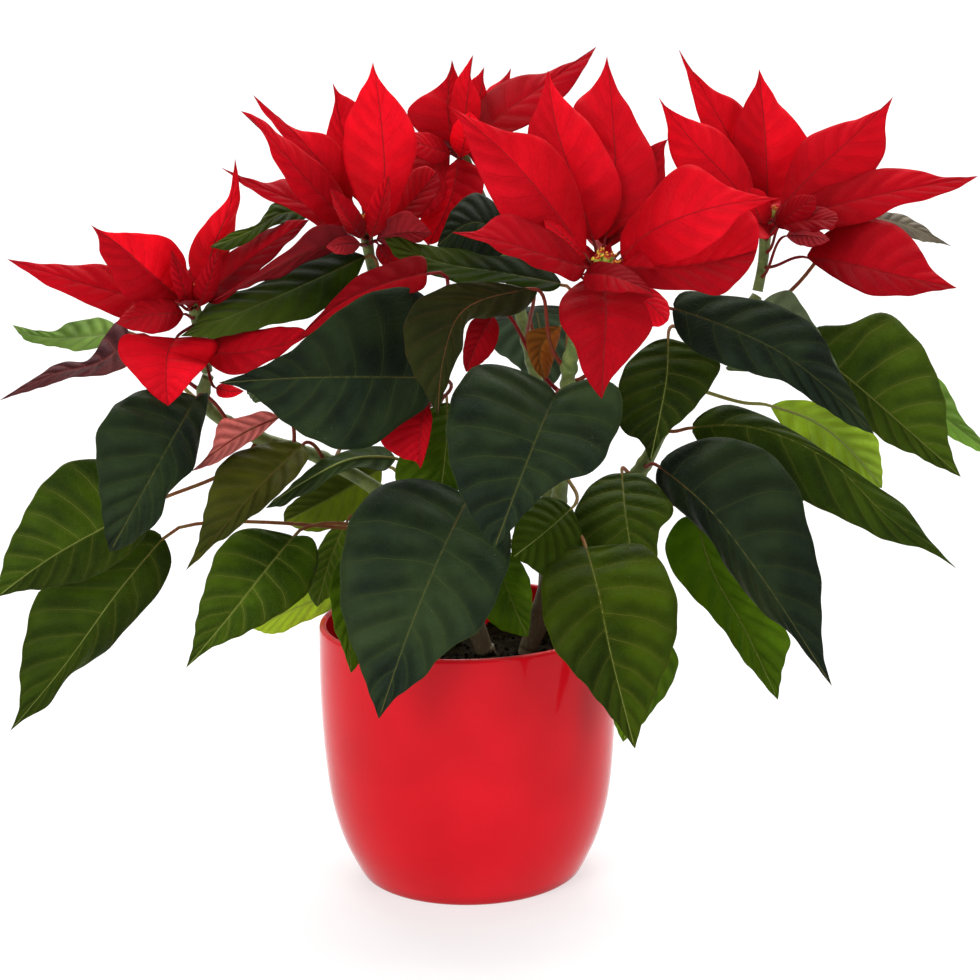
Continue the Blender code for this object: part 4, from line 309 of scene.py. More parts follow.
def far_blade(foot, heading, pitch, length, width, droop, roll):
    """A blade that arches over from its foot, with an ovate outline."""
    foot = place(*foot) * 1000
    n = 40
    t = np.linspace(0, 1, n)
    angle = np.radians(pitch - droop * t)
    ahead = np.array([math.cos(math.radians(heading)), math.sin(math.radians(heading)), 0])
    run = np.concatenate([[0], np.cumsum(np.cos(angle[:-1]))]) * length / (n - 1)
    rise = np.concatenate([[0], np.cumsum(np.sin(angle[:-1]))]) * length / (n - 1)
    mid = (np.array(foot)[None] + ahead[None] * run[:, None] + np.array([0, 0, 1.0])[None] * rise[:, None]) / 1000
    right = np.array([ahead[1], -ahead[0], 0.0])
    up = -np.sin(angle)[:, None] * ahead[None] + np.cos(angle)[:, None] * np.array([0, 0, 1.0])[None]
    half = width / 2000.0 * np.sin(np.pi * t**0.72) ** 0.8 * (1 - 0.35 * t)
    edges = []
    for sign in (-1, 1):
        a = math.radians(roll) + sign * math.radians(-14)
        side = sign * math.cos(a) * right[None] + sign * math.sin(a) * up
        edges.append(mid + side * half[:, None])
    return Blade(mid, edges[0], edges[1], 1)


def normals_of(mid, left, right):
    """Unit normals along a blade's midrib, facing the viewer's side of it."""
    ahead = unit(np.gradient(mid, axis=0))
    side = unit(right - left)
    n = unit(np.cross(side, ahead))
    bad = np.linalg.norm(right - left, axis=1) < 1e-5
    if bad.any() and not bad.all():
        good = np.flatnonzero(~bad)
        for i in np.flatnonzero(bad):
            n[i] = n[good[np.abs(good - i).argmin()]]
    return n


def shoot_line(rows):
    """A shoot's centre line and its radii, in metres."""
    line = smooth([(*place(u, v, d), r / 1000) for u, v, d, r in rows], 60)
    return line[:, :3], line[:, 3]


def stalk(blade, line, radius, where, via, clear, count=14):
    """Centre line of the stalk that joins a blade's foot to a shoot, from the shoot to the foot. It starts
    clear metres off the shoot's surface, or inside it where clear is negative."""
    foot = blade.mid[0]
    ahead = unit(blade.mid[3] - blade.mid[0])
    centre = along(line, [where])[0]
    r = float(np.interp(where, np.linspace(0, 1, len(radius)), radius))
    axis = unit(along(line, [min(where + 0.02, 1)])[0] - along(line, [max(where - 0.02, 0)])[0])
    if len(via):
        points = [place(*p) for p in via]
    else:
        points = []
    target = points[0] if points else foot
    out = target - centre
    reach = np.linalg.norm(out)
    out = unit(out - axis * (out @ axis) * 0.75)
    start = centre + out * (r + clear)
    if points:
        return smooth([start] + points + [foot - ahead * 0.004, foot], count)
    t = np.linspace(0, 1, 30)[:, None]
    p1 = start + out * reach * 0.38
    p2 = foot - ahead * reach * 0.34
    curve = (1 - t) ** 3 * start + 3 * (1 - t) ** 2 * t * p1 + 3 * (1 - t) * t**2 * p2 + t**3 * foot
    return along(curve, np.linspace(0, 1, count))


# ------------------------------------------------------------------ the cups in the middle of each head
# One row per cup: distance from the middle in mm, angle in degrees, height of its foot in mm, leaning outward
# in degrees, length in mm, radius in mm. They stand on the head's receptacle, which ends its axis.
RECEPTACLE = 0.0016
CUPS = [(0.0, 0, 0.6, 0, 5.4, 1.8), (3.2, 20, 0.2, 16, 4.8, 1.6), (3.3, 92, 0.2, 20, 4.4, 1.5), (3.2, 163, 0.2, 16, 5.0, 1.6), (3.3, 236, 0.2, 18, 4.2, 1.4), (3.2, 308, 0.2, 18, 4.6, 1.5)]
CUP_SPREAD = {"A": 0.8, "B": 0.8, "C": 1.0, "D": 0.8, "E": 0.8}


def axis_frame(line):
    """The end of a head's axis: its point, its direction and two directions across it."""
    ahead = unit(line[-1] - line[-6])
    a = unit(np.cross(ahead, [0.0, 1.0, 0.15]))
    return line[-1], ahead, a, np.cross(ahead, a)


def cup_places(line, gap, spread):
    """Foot, direction, length and radius of each cup on a head, starting gap metres beyond its axis."""
    top, ahead, a, b = axis_frame(line)
    cups = []
    for out, angle, rise, lean, length, radius in CUPS:
        c, s = math.cos(math.radians(angle)), math.sin(math.radians(angle))
        side = a * c + b * s
        foot = top + ahead * (gap + rise / 1000) + side * out * spread / 1000
        way = unit(ahead * math.cos(math.radians(lean)) + side * math.sin(math.radians(lean)))
        cups.append((foot, way, length / 1000, radius * spread / 1000))
    return cups


# ------------------------------------------------------------------ building a material's nodes
class Graph:
    """A material being wired up. Every call that makes a node returns its output socket."""

    def __init__(self, name):
        self.mat = bpy.data.materials.new(name)
        self.mat.use_nodes = True
        self.tree = self.mat.node_tree
        self.tree.nodes.clear()
        self.made = {}

    def node(self, kind, **settings):
        made = self.tree.nodes.new(kind)
        for key, value in settings.items():
            setattr(made, key, value)
        return made

    def feed(self, socket, value):
        if isinstance(value, bpy.types.NodeSocket):
            self.tree.links.new(value, socket)
        elif isinstance(value, (tuple, list)):
            socket.default_value = (*value, 1.0) if len(value) < len(socket.default_value) else tuple(value)
        else:
            socket.default_value = value

    def math(self, operation, a, b=0.0, c=0.0, clamp=False):
        made = self.node("ShaderNodeMath", operation=operation, use_clamp=clamp)
        for socket, value in zip(made.inputs, (a, b, c)):
            self.feed(socket, value)
        return made.outputs[0]

    def mix(self, factor, a, b, kind="MIX"):
        made = self.node("ShaderNodeMix", data_type="RGBA", blend_type=kind)
        self.feed(made.inputs[0], factor)
        self.feed(made.inputs[6], a)
        self.feed(made.inputs[7], b)
        return made.outputs[2]

    def fade(self, value, start, end, low=0.0, high=1.0):
        """low before start and high after end, with a smooth change between them."""
        made = self.node("ShaderNodeMapRange", interpolation_type="SMOOTHSTEP")
        for socket, x in zip(made.inputs, (value, start, end, low, high)):
            self.feed(socket, x)
        return made.outputs[0]

    def noise(self, place_at, scale, detail=2.0, rough=0.5, distortion=0.0):
        made = self.node("ShaderNodeTexNoise")
        for name, x in (("Vector", place_at), ("Scale", scale), ("Detail", detail), ("Roughness", rough), ("Distortion", distortion)):
            self.feed(made.inputs[name], x)
        return made.outputs[0]

    def cells(self, place_at, scale, feature="DISTANCE_TO_EDGE", spread=1.0, dims="3D"):
        made = self.node("ShaderNodeTexVoronoi", feature=feature, voronoi_dimensions=dims)
        self.feed(made.inputs["Vector"], place_at)
        self.feed(made.inputs["Scale"], scale)
        self.feed(made.inputs["Randomness"], spread)
        return made.outputs["Distance"]

    def bump(self, height, distance, strength=1.0, onto=None):
        made = self.node("ShaderNodeBump")
        self.feed(made.inputs["Strength"], strength)
        self.feed(made.inputs["Distance"], distance)
        self.feed(made.inputs["Height"], height)
        if onto is not None:
            self.feed(made.inputs["Normal"], onto)
        return made.outputs[0]

    def uv(self, name):
        """The two coordinates of a UV map."""
        if name not in self.made:
            made = self.node("ShaderNodeUVMap", uv_map=name)
            parts = self.node("ShaderNodeSeparateXYZ")
            self.tree.links.new(made.outputs[0], parts.inputs[0])
            self.made[name] = (parts.outputs[0], parts.outputs[1], made.outputs[0])
        return self.made[name]

    def here(self):
        """Where the surface is, in metres. Every piece's origin is the pot's foot, so this is one space for all."""
        if "here" not in self.made:
            self.made["here"] = self.node("ShaderNodeTexCoord").outputs["Object"]
        return self.made["here"]

    def height(self):
        if "height" not in self.made:
            parts = self.node("ShaderNodeSeparateXYZ")
            self.tree.links.new(self.here(), parts.inputs[0])
            self.made["height"] = parts.outputs[2]
        return self.made["height"]

    def joined(self, x, y, z=0.0):
        made = self.node("ShaderNodeCombineXYZ")
        for socket, value in zip(made.inputs, (x, y, z)):
            self.feed(socket, value)
        return made.outputs[0]

    def shader(self, colour, roughness, normal=None, **fixed):
        made = self.node("ShaderNodeBsdfPrincipled")
        self.feed(made.inputs["Base Color"], colour)
        self.feed(made.inputs["Roughness"], roughness)
        if normal is not None:
            self.feed(made.inputs["Normal"], normal)
        for key, value in fixed.items():
            made.inputs[key.replace("_", " ")].default_value = value
        return made.outputs[0]

    def finish(self, shader, glow=None, share=0.0, normal=None):
        """Ends the material with this shader, mixed with light that comes through from behind."""
        out = self.node("ShaderNodeOutputMaterial")
        if glow is not None:
            through = self.node("ShaderNodeBsdfTranslucent")
            self.feed(through.inputs["Color"], glow)
            if normal is not None:
                self.feed(through.inputs["Normal"], normal)
            both = self.node("ShaderNodeMixShader")
            self.feed(both.inputs[0], share)
            self.tree.links.new(shader, both.inputs[1])
            self.tree.links.new(through.outputs[0], both.inputs[2])
            shader = both.outputs[0]
        self.tree.links.new(shader, out.inputs["Surface"])
        return self.mat


# ------------------------------------------------------------------ the skins of leaves and bracts
# tone: two greens that the blade drifts between, its veins, the light through it and how much of it, how
# strongly the veins show, and how glossy it is
# the green tones dark, mid, lit, lit_front, dark_lit, lime and pale are copies of one green in different light: their
# lighter base colours paint light falling on or shining through a leaf, on top of the light the shader lets through,
# and their darker ones paint shade
LEAF_TONES = {
    "dark": dict(deep=(0.0062, 0.0110, 0.0064), light=(0.0152, 0.0255, 0.0090), vein=(0.0420, 0.0595, 0.0150), glow=(0.0500, 0.1100, 0.0048), share=0.10, veins=0.55, under=(0.050, 0.085, 0.040)),
    "mid": dict(deep=(0.0142, 0.0281, 0.0018), light=(0.0323, 0.0561, 0.0024), vein=(0.1190, 0.1400, 0.0200), glow=(0.1000, 0.2100, 0.0048), share=0.22, veins=0.75, under=(0.080, 0.125, 0.045)),
    "lit": dict(deep=(0.0323, 0.0612, 0.0021), light=(0.0665, 0.1148, 0.0033), vein=(0.1400, 0.1820, 0.0200), glow=(0.2000, 0.3700, 0.0060), share=0.42, veins=0.60, under=(0.090, 0.150, 0.040)),
    "lit_front": dict(deep=(0.0190, 0.0365, 0.0012), light=(0.0456, 0.0765, 0.0018), vein=(0.1330, 0.1470, 0.0175), glow=(0.1300, 0.2500, 0.0040), share=0.28, veins=0.80, under=(0.085, 0.135, 0.040)),
    "lime": dict(deep=(0.1150, 0.1650, 0.0140), light=(0.1950, 0.2500, 0.0240), vein=(0.2900, 0.3400, 0.0700), glow=(0.3800, 0.4600, 0.0330), share=0.55, veins=0.55, under=(0.140, 0.220, 0.040)),
    "pale": dict(deep=(0.0900, 0.1550, 0.0300), light=(0.1700, 0.2500, 0.0600), vein=(0.3000, 0.3800, 0.1300), glow=(0.3300, 0.5000, 0.0900), share=0.50, veins=0.60, under=(0.170, 0.240, 0.090)),
    "dark_lit": dict(deep=(0.0123, 0.0247, 0.0033), light=(0.0361, 0.0680, 0.0045), vein=(0.0770, 0.1120, 0.0200), glow=(0.1300, 0.2600, 0.0060), share=0.28, veins=0.60, under=(0.110, 0.170, 0.060)),
    "bronze": dict(deep=(0.0199, 0.0204, 0.0027), light=(0.0494, 0.0527, 0.0045), vein=(0.1050, 0.0910, 0.0250), glow=(0.1400, 0.1700, 0.0080), share=0.20, veins=0.55, under=(0.100, 0.110, 0.050)),
    "bronze_dark": dict(deep=(0.0104, 0.0119, 0.0027), light=(0.0285, 0.0281, 0.0042), vein=(0.0840, 0.0490, 0.0175), glow=(0.0800, 0.0900, 0.0060), share=0.12, veins=0.60, under=(0.080, 0.080, 0.045)),
    "red_dark": dict(deep=(0.0200, 0.0055, 0.0070), light=(0.0600, 0.0170, 0.0160), vein=(0.1500, 0.0400, 0.0350), glow=(0.1800, 0.0200, 0.0220), share=0.20, veins=0.55, under=(0.130, 0.040, 0.040)),
    "grey": dict(deep=(0.0450, 0.0620, 0.0300), light=(0.0900, 0.1150, 0.0600), vein=(0.1700, 0.1900, 0.1100), glow=(0.1400, 0.1900, 0.0700), share=0.25, veins=0.50, under=(0.150, 0.180, 0.120)),
    "brown": dict(deep=(0.0400, 0.0330, 0.0250), light=(0.0900, 0.0780, 0.0550), vein=(0.1700, 0.1400, 0.0900), glow=(0.1600, 0.1300, 0.0700), share=0.25, veins=0.50, under=(0.150, 0.130, 0.100)),
    "dry": dict(deep=(0.2000, 0.0500, 0.0080), light=(0.4200, 0.1700, 0.0250), vein=(0.3000, 0.1100, 0.0300), glow=(0.5500, 0.2400, 0.0300), share=0.40, veins=0.50, under=(0.380, 0.180, 0.050)),
    "pink": dict(deep=(0.3000, 0.0330, 0.0330), light=(0.4600, 0.0850, 0.0620), vein=(0.2400, 0.0400, 0.0300), glow=(0.6000, 0.0700, 0.0600), share=0.35, veins=0.50, under=(0.420, 0.130, 0.110)),
}


def vein_lines(g, bend, count, wobble):
    """For a blade's skin: how near a side vein is, in centimetres, the share of the way out to the margin, and a wave
    across each vein that is used to paint shade on one side of it and light on the other.
    """
    u, v, _ = g.uv("blade_uv")
    across, down, flat = g.uv("blade_cm")
    length, seed, _ = g.uv("blade_facts")
    side = g.math("SUBTRACT", g.math("MULTIPLY", u, 2.0), 1.0)
    out = g.math("ABSOLUTE", side)
    curved = g.math("MULTIPLY", g.math("POWER", g.math("MAXIMUM", out, 0.0001), 1.6), bend)
    drift = g.math("MULTIPLY", g.math("SUBTRACT", g.noise(g.joined(u, v, seed), 4.0, 1.0), 0.5), wobble)
    q = g.math("MULTIPLY", g.math("SUBTRACT", v, curved), count)
    # the veins of one half start a little farther on than those of the other
    q = g.math("ADD", g.math("ADD", q, g.math("MULTIPLY", g.math("SIGN", side), 0.16)), g.math("ADD", drift, seed))
    past = g.math("SUBTRACT", g.math("FRACT", q), 0.5)
    off = g.math("ABSOLUTE", past)
    near = g.math("MULTIPLY", off, g.math("DIVIDE", g.math("MULTIPLY", length, 10.0), count))
    return out, near, off, g.math("SINE", g.math("MULTIPLY", past, 2 * math.pi))


def leaf_skin(name, tone, under):
    spec = LEAF_TONES[tone]
    g = Graph(name)
    u, v, _ = g.uv("blade_uv")
    across, down, flat = g.uv("blade_cm")
    length, seed, _ = g.uv("blade_facts")
    here = g.here()
    out, near, off, slope = vein_lines(g, 0.07, 9.0, 0.22)
    from_rib = g.math("ABSOLUTE", across)
    # masks: the midrib, the side veins that thin out towards the margin, and the fine net between them
    rib = g.fade(from_rib, 0.035, 0.085, 1.0, 0.0)
    width = g.math("MULTIPLY_ADD", out, -0.022, 0.037)
    side_vein = g.math("MULTIPLY", g.fade(g.math("DIVIDE", near, width), 0.35, 1.0, 1.0, 0.0), g.fade(out, 0.80, 0.97, 1.0, 0.0))
    halo = g.fade(near, 0.02, 0.22, 1.0, 0.0)
    net_at = g.node("ShaderNodeVectorMath", operation="MULTIPLY")
    g.feed(net_at.inputs[0], flat)
    net_at.inputs[1].default_value = (1.0, 1.5, 1.0)
    net = g.fade(g.cells(net_at.outputs[0], 2.6, dims="2D"), 0.0, 0.085, 1.0, 0.0)
    small_net = g.fade(g.cells(flat, 7.5, dims="2D"), 0.0, 0.10, 1.0, 0.0)
    drift = g.noise(here, 26.0, 3.0, 0.55)
    patch = g.noise(here, 75.0, 3.0, 0.6)
    grain = g.noise(here, 900.0, 2.0, 0.6)
    if under:
        deep, light = tuple(0.72 * c for c in spec["under"]), spec["under"]
        colour = g.mix(g.fade(drift, 0.32, 0.68), deep, light)
    else:
        colour = g.mix(g.fade(drift, 0.34, 0.66), spec["deep"], spec["light"])
    # painted light and shade: each leaf's colour is scaled by its own level from blade_shade, deeper for leaves in the
    # shade of others and paler for lit ones
    painted_light_level, blush, _ = g.uv("blade_shade")
    colour = g.mix(1.0, colour, g.joined(painted_light_level, painted_light_level, painted_light_level), "MULTIPLY")
    tint = g.math("MULTIPLY_ADD", patch, 0.55, 0.72)
    colour = g.mix(1.0, colour, g.joined(tint, tint, tint), "MULTIPLY")
    fine = g.math("MULTIPLY_ADD", grain, 0.28, 0.86)
    colour = g.mix(1.0, colour, g.joined(fine, fine, fine), "MULTIPLY")
    # painted shade of the quilting: each side vein is painted a little darker on one side and lighter on the other, as
    # side light falls on the swelling between the veins
    painted_quilt_shade = g.math("MULTIPLY", g.math("MULTIPLY", slope, g.fade(out, 0.06, 0.30)), g.fade(out, 0.80, 1.0, 0.30, 0.10))
    painted_quilt_shade = g.math("ADD", painted_quilt_shade, 1.0)
    colour = g.mix(1.0, colour, g.joined(painted_quilt_shade, painted_quilt_shade, painted_quilt_shade), "MULTIPLY")
    speck = g.math("MULTIPLY", g.fade(g.cells(here, 230.0, "F1"), 0.045, 0.085, 1.0, 0.0), g.fade(g.noise(here, 42.0, 1.0), 0.60, 0.68))
    paler = g.math("MULTIPLY", blush, g.fade(g.math("ADD", v, g.math("MULTIPLY", out, 0.15)), 0.30, 0.85))
    colour = g.mix(paler, colour, (0.075, 0.110, 0.014))
    strength = spec["veins"]
    vein = g.mix(1.0, spec["vein"], g.joined(painted_light_level, painted_light_level, painted_light_level), "MULTIPLY")
    colour = g.mix(g.math("MULTIPLY", halo, 0.16 * strength), colour, vein)
    colour = g.mix(g.math("MULTIPLY", small_net, 0.06 * strength), colour, vein)
    colour = g.mix(g.math("MULTIPLY", net, 0.16 * strength), colour, vein)
    colour = g.mix(g.math("MULTIPLY", side_vein, 0.62 * strength), colour, vein)
    colour = g.mix(g.math("MULTIPLY", rib, 0.55 * strength), colour, vein)
    colour = g.mix(g.math("MULTIPLY", speck, 0.30), colour, (0.22, 0.24, 0.20))
    # a thin paler line right along the margin
    colour = g.mix(g.fade(out, 0.975, 0.995, 0.0, 0.35), colour, vein)
    dome = g.fade(off, 0.02, 0.40)
    height = g.math("MULTIPLY", dome, 0.55)
    height = g.math("SUBTRACT", height, g.math("MULTIPLY", net, 0.16))
    height = g.math("SUBTRACT", height, g.math("MULTIPLY", small_net, 0.05))
    height = g.math("ADD", height, g.math("MULTIPLY", grain, 0.05))
    height = g.math("SUBTRACT", height, g.math("MULTIPLY", side_vein, 0.25))
    normal = g.bump(height, -0.0009 if under else 0.0009, 0.8)
    rough = g.math("ADD", g.math("MULTIPLY_ADD", patch, 0.22, 0.36 if not under else 0.5), g.math("MULTIPLY", small_net, 0.05))
    shader = g.shader(colour, rough, normal, Specular_IOR_Level=0.02 if tone == "dark_lit" else 0.045 if not under else 0.06)
    veins_block = g.math("MAXIMUM", g.math("MULTIPLY", side_vein, 0.40), g.math("MULTIPLY", rib, 0.65))
    veins_block = g.math("MAXIMUM", veins_block, g.math("MULTIPLY", net, 0.15))
    glow = g.mix(g.fade(drift, 0.3, 0.7), tuple(0.72 * c for c in spec["glow"]), spec["glow"])
    glow = g.mix(1.0, glow, g.joined(tint, tint, tint), "MULTIPLY")
    glow = g.mix(1.0, glow, g.joined(painted_light_level, painted_light_level, painted_light_level), "MULTIPLY")
    glow = g.mix(veins_block, glow, tuple(0.45 * c for c in spec["glow"]))
    return g.finish(shader, glow, spec["share"], normal)


def bract_skin(name, under, deep=(0.400, 0.0012, 0.0050), light=(0.800, 0.0060, 0.0190), glow=(0.95, 0.012, 0.030)):
    g = Graph(name)
    u, v, _ = g.uv("blade_uv")
    across, down, flat = g.uv("blade_cm")
    length, seed, _ = g.uv("blade_facts")
    here = g.here()
    out, near, off, slope = vein_lines(g, 0.06, 9.0, 0.30)
    from_rib = g.math("ABSOLUTE", across)
    rib = g.fade(from_rib, 0.018, 0.065, 1.0, 0.0)
    width = g.math("MULTIPLY_ADD", out, -0.022, 0.034)
    side_vein = g.math("MULTIPLY", g.fade(g.math("DIVIDE", near, width), 0.30, 1.0, 1.0, 0.0), g.fade(out, 0.72, 0.95, 1.0, 0.0))
    net_at = g.node("ShaderNodeVectorMath", operation="MULTIPLY")
    g.feed(net_at.inputs[0], flat)
    net_at.inputs[1].default_value = (1.0, 1.6, 1.0)
    net = g.fade(g.cells(net_at.outputs[0], 3.1, dims="2D"), 0.0, 0.08, 1.0, 0.0)
    drift = g.noise(here, 30.0, 3.0, 0.55)
    patch = g.noise(here, 95.0, 3.0, 0.6)
    grain = g.noise(here, 1100.0, 2.0, 0.65)
    # darker towards the foot, brightest in the outer half
    outward = g.fade(v, 0.02, 0.55, 0.0, 0.75)
    tone = g.math("ADD", g.math("MULTIPLY", outward, 0.75), g.math("MULTIPLY", g.fade(drift, 0.3, 0.7), 0.40))
    colour = g.mix(tone, deep, light)
    if under:
        colour = g.mix(0.55, colour, (0.46, 0.060, 0.075))
    # painted light and shade: each bract's colour is scaled by its own level from blade_shade, deeper for bracts in the
    # shade of others and paler for lit ones
    painted_light_level, blush, _ = g.uv("blade_shade")
    colour = g.mix(1.0, colour, g.joined(painted_light_level, painted_light_level, painted_light_level), "MULTIPLY")
    tint = g.math("MULTIPLY_ADD", patch, 0.34, 0.83)
    colour = g.mix(1.0, colour, g.joined(tint, tint, tint), "MULTIPLY")
    fine = g.math("MULTIPLY_ADD", grain, 0.22, 0.89)
    colour = g.mix(1.0, colour, g.joined(fine, fine, fine), "MULTIPLY")
    # painted shade of the quilting: a little darker on one side of each side vein and lighter on the other
    painted_quilt_shade = g.math("MULTIPLY_ADD", g.math("MULTIPLY", slope, g.fade(out, 0.06, 0.30)), 0.07, 1.0)
    colour = g.mix(1.0, colour, g.joined(painted_quilt_shade, painted_quilt_shade, painted_quilt_shade), "MULTIPLY")
    line = g.mix(1.0, (0.34, 0.004, 0.010) if not under else (0.50, 0.085, 0.100), g.joined(painted_light_level, painted_light_level, painted_light_level), "MULTIPLY")
    colour = g.mix(g.math("MULTIPLY", net, 0.08), colour, line)
    colour = g.mix(g.math("MULTIPLY", side_vein, 0.24), colour, line)
    colour = g.mix(g.math("MULTIPLY", rib, 0.34), colour, line)
    dome = g.fade(off, 0.02, 0.40)
    height = g.math("MULTIPLY", dome, 0.5)
    height = g.math("SUBTRACT", height, g.math("MULTIPLY", net, 0.12))
    height = g.math("ADD", height, g.math("MULTIPLY", grain, 0.06))
    height = g.math("SUBTRACT", height, g.math("MULTIPLY", side_vein, 0.22))
    normal = g.bump(height, -0.0008 if under else 0.0008, 0.7)
    rough = g.math("MULTIPLY_ADD", patch, 0.20, 0.44)
    shader = g.shader(colour, rough, normal, Specular_IOR_Level=0.04, Sheen_Weight=0.02, Sheen_Roughness=0.5, Sheen_Tint=(1.0, 0.35, 0.35, 1.0))
    through = g.mix(outward, tuple(0.55 * c for c in glow), glow)
    through = g.mix(1.0, through, g.joined(tint, tint, tint), "MULTIPLY")
    through = g.mix(g.math("MAXIMUM", g.math("MULTIPLY", side_vein, 0.25), g.math("MULTIPLY", rib, 0.40)), through, tuple(0.5 * c for c in glow))
    through = g.mix(1.0, through, g.joined(painted_light_level, painted_light_level, painted_light_level), "MULTIPLY")
    return g.finish(shader, through, 0.34, normal)


def stalk_skin():
    """Stalks and midribs. Along them the map runs 0 to 1 on the stalk and 1 to 2 on the blade."""
    g = Graph("stalk_red_to_green")
    turn, along_it, _ = g.uv("blade_uv")
    red_stalk, red_rib, _ = g.uv("blade_facts")
    lightness, _, _ = g.uv("blade_cm")
    here = g.here()
    share = g.mix(g.fade(along_it, 0.85, 1.35), g.joined(red_stalk, 0.0, 0.0), g.joined(red_rib, 0.0, 0.0))
    parts = g.node("ShaderNodeSeparateXYZ")
    g.tree.links.new(share, parts.inputs[0])
    blotch = g.noise(here, 160.0, 3.0, 0.6)
    redness = g.math("MULTIPLY", parts.outputs[0], g.fade(blotch, 0.25, 0.60, 0.75, 1.0))
    green = g.mix(g.fade(lightness, 0.0, 1.0), (0.020, 0.042, 0.010), (0.230, 0.270, 0.070))
    red = g.mix(g.noise(here, 300.0, 2.0), (0.075, 0.0050, 0.0075), (0.250, 0.0120, 0.0150))
    colour = g.mix(redness, green, red)
    grain = g.noise(here, 1500.0, 2.0)
    normal = g.bump(grain, 0.0001, 0.5)
    return g.finish(g.shader(colour, g.math("MULTIPLY_ADD", blotch, 0.2, 0.40), normal, Specular_IOR_Level=0.05))


SKINS = {}


def skins_of(tone):
    """The upper, under and stalk materials of a tone."""
    if tone not in SKINS:
        if tone == "bract":
            SKINS[tone] = (bract_skin("bract_upper", False), bract_skin("bract_under", True))
        else:
            SKINS[tone] = (leaf_skin(f"leaf_{tone}_upper", tone, False), leaf_skin(f"leaf_{tone}_under", tone, True))
    if "stalk" not in SKINS:
        SKINS["stalk"] = stalk_skin()
    return [*SKINS[tone], SKINS["stalk"]]


# ------------------------------------------------------------------ meshes
def mesh_piece(name, points, faces, slots, mats, maps, sharp=None):
    """A mesh object. slots gives each face's material, and maps each UV map as one (x, y) per point."""
    mesh = bpy.data.meshes.new(name)
    mesh.from_pydata([tuple(p) for p in points], [], [tuple(f) for f in faces])
    for mat in mats:
        mesh.materials.append(mat)
    mesh.polygons.foreach_set("material_index", np.asarray(slots, np.int32))
    corner = np.empty(len(mesh.loops), np.int32)
    mesh.loops.foreach_get("vertex_index", corner)
    for key, values in maps.items():
        layer = mesh.uv_layers.new(name=key, do_init=False)
        layer.data.foreach_set("uv", np.asarray(values, np.float32)[corner].ravel())
    mesh.shade_smooth()
    if sharp is not None:
        mesh.set_sharp_from_angle(angle=math.radians(sharp))
    mesh.update()
    obj = bpy.data.objects.new(name, mesh)
    bpy.context.scene.collection.objects.link(obj)
    return obj


def wander(seed, where, octaves=3):
    """A smooth random curve, about -1 to 1, of the array where."""
    rng = np.random.default_rng(seed)
    total = np.zeros_like(where, float)
    for k in range(1, octaves + 1):
        total += rng.normal() / k * np.sin(2 * math.pi * (k * where * 1.3 + rng.random()))
    return total * 0.6


def frames_along(path, side):
    """Two directions across a path at each of its points, turned as little as possible from side at its end."""
    ahead = unit(np.gradient(path, axis=0))
    sides = np.empty_like(path)
    s = side - ahead[-1] * (side @ ahead[-1])
    for i in range(len(path) - 1, -1, -1):
        s = unit(s - ahead[i] * (s @ ahead[i]))
        sides[i] = s
    return sides, np.cross(sides, ahead)


def ring_faces(first, rings, sides, closed_ends=True):
    faces = []
    for k in range(rings - 1):
        for j in range(sides):
            a, b = first + sides * k + j, first + sides * k + (j + 1) % sides
            faces.append((a, b, b + sides, a + sides))
    if closed_ends:
        faces.append(tuple(first + j for j in reversed(range(sides))))
        faces.append(tuple(first + sides * (rings - 1) + j for j in range(sides)))
    return faces


class Form:
    """How a blade differs from the flat one: all lengths in millimetres."""

    def __init__(self, arch=0.055, quilt=0.42, wave=1.0, waves=2.6, teeth=0.5, groove=0.45, veins=8.0, bend=0.07, curl=0.0, thick=0.36):
        self.arch, self.quilt, self.wave, self.waves, self.teeth = arch, quilt, wave, waves, teeth
        self.groove, self.veins, self.bend, self.curl, self.thick = groove, veins, bend, curl, thick


